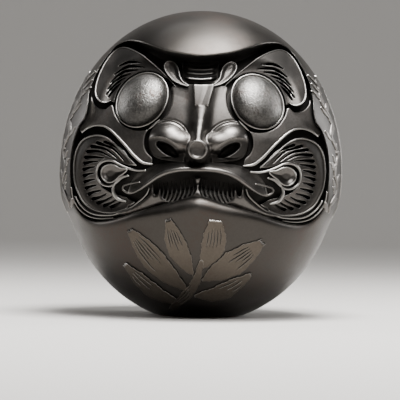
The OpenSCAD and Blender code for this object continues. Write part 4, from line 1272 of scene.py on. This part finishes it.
class DarumaLook(bpy.types.PropertyGroup):
    eye_rise: bpy.props.FloatProperty(name="Eye rise", description="How far an eye's dome stands out",
                                      unit="LENGTH", default=0.0092, min=0.006, max=0.011)
    lip_scale: bpy.props.FloatProperty(name="Lip thickness", description="Thickness of the lip, 1 as found",
                                       default=1.0, min=0.7, max=1.2)
    emblem_rise: bpy.props.FloatProperty(name="Stroke rise", description="How far the strokes are raised",
                                         unit="LENGTH", default=0.0008, min=0.0004, max=0.001)
    grain: bpy.props.FloatProperty(name="Grain", description="Size of the sandblasted grain", unit="LENGTH",
                                   default=0.00035, min=0.0001, max=0.001)
    shell: colour_property("Shell", "Blackened steel of the shell", "#3a3734")
    eye: colour_property("Eye", "Rubbed steel of the eyes", "#6c6a67")
    steel: colour_property("Steel", "Blackened steel of the relief", "#565350")
    # Worn edge is also the colour of the painted highlight on proud edges
    worn: colour_property("Worn edge", "Steel rubbed bright on edges", "#c4c1bc")
    # Patina is also the colour of the painted shade
    patina: colour_property("Patina", "Black patina in the recesses", "#141312")
    rust: colour_property("Bloom", "Brown bloom in the patina", "#4a342a")
    panel: colour_property("Panel", "Darker steel of the recess", "#565350")
    bronze: colour_property("Bronze", "Warm metal of the brush strokes", "#4c463f")
    felt: colour_property("Felt", "Felt of the foot pad", "#4a3128")
    paper: colour_property("Paper", "Studio floor and backdrop", "#b0ada9")
    key_power: bpy.props.FloatProperty(name="Key light", description="Power of the key light in watts",
                                       default=26.0, min=1.0, max=100.0)
    ambient: bpy.props.FloatProperty(name="Ambient", description="Strength of the even light",
                                     default=0.05, min=0.0, max=2.0)


def make_operator(key, label, text, action):
    """An operator that builds one piece, or one group of like pieces."""
    def execute(self, context):
        action()
        return {"FINISHED"}

    return type("DARUMA_OT_" + key, (bpy.types.Operator,), {
        "__doc__": text, "bl_idname": "daruma." + key, "bl_label": label, "bl_options": {"REGISTER", "UNDO"},
        "execute": execute})


OPERATORS = [
    make_operator("shell", "Shell", "Builds the egg-shaped shell with its opening", shell_piece),
    make_operator("recess", "Recess wall", "Builds the curved wall round the recess", recess_wall),
    make_operator("panel", "Face panel", "Builds the sheet, the skin and the muzzle", panel_piece),
    make_operator("brows", "Brow plates", "Builds the slotted brow plates", brow_pieces),
    make_operator("forehead", "Forehead", "Builds the wrinkles and drops of the forehead", forehead_pieces),
    make_operator("nose", "Nose", "Builds the nose and the button on its tip", nose_pieces),
    make_operator("eyes", "Eyes", "Builds the domed eyes and their rims", eye_pieces),
    make_operator("cheeks", "Cheeks", "Builds the cheek fans, drops and ridges", cheek_pieces),
    make_operator("mouth", "Mouth", "Builds lip, post, combs, fangs and jaw ridges", mouth_pieces),
    make_operator("emblems", "Brush strokes", "Builds the raised strokes of belly and flanks", emblem_pieces),
    make_operator("base", "Base parts", "Gives the carried-over parts their finish", dress_carried_over),
    make_operator("stage", "Stage", "Builds the floor, the lights and the camera", stage_piece),
]


class DARUMA_PT_panel(bpy.types.Panel):
    """Sizes, colours and build buttons of the doll"""
    bl_label = "Daruma doll"
    bl_idname = "DARUMA_PT_panel"
    bl_space_type = "VIEW_3D"
    bl_region_type = "UI"
    bl_category = "Daruma"

    def draw(self, context):
        for key in DarumaLook.__annotations__:
            self.layout.prop(context.scene.daruma, key)
        for operator in OPERATORS:
            self.layout.operator(operator.bl_idname)


CLASSES = [DarumaLook, *OPERATORS, DARUMA_PT_panel]


def register():
    for item in CLASSES:
        bpy.utils.register_class(item)
    bpy.types.Scene.daruma = bpy.props.PointerProperty(type=DarumaLook)


def unregister():
    del bpy.types.Scene.daruma
    for item in reversed(CLASSES):
        bpy.utils.unregister_class(item)


def main():
    register()
    for operator in OPERATORS:
        getattr(bpy.ops.daruma, operator.bl_idname.split(".")[1])()


if __name__ == "__main__":
    main()
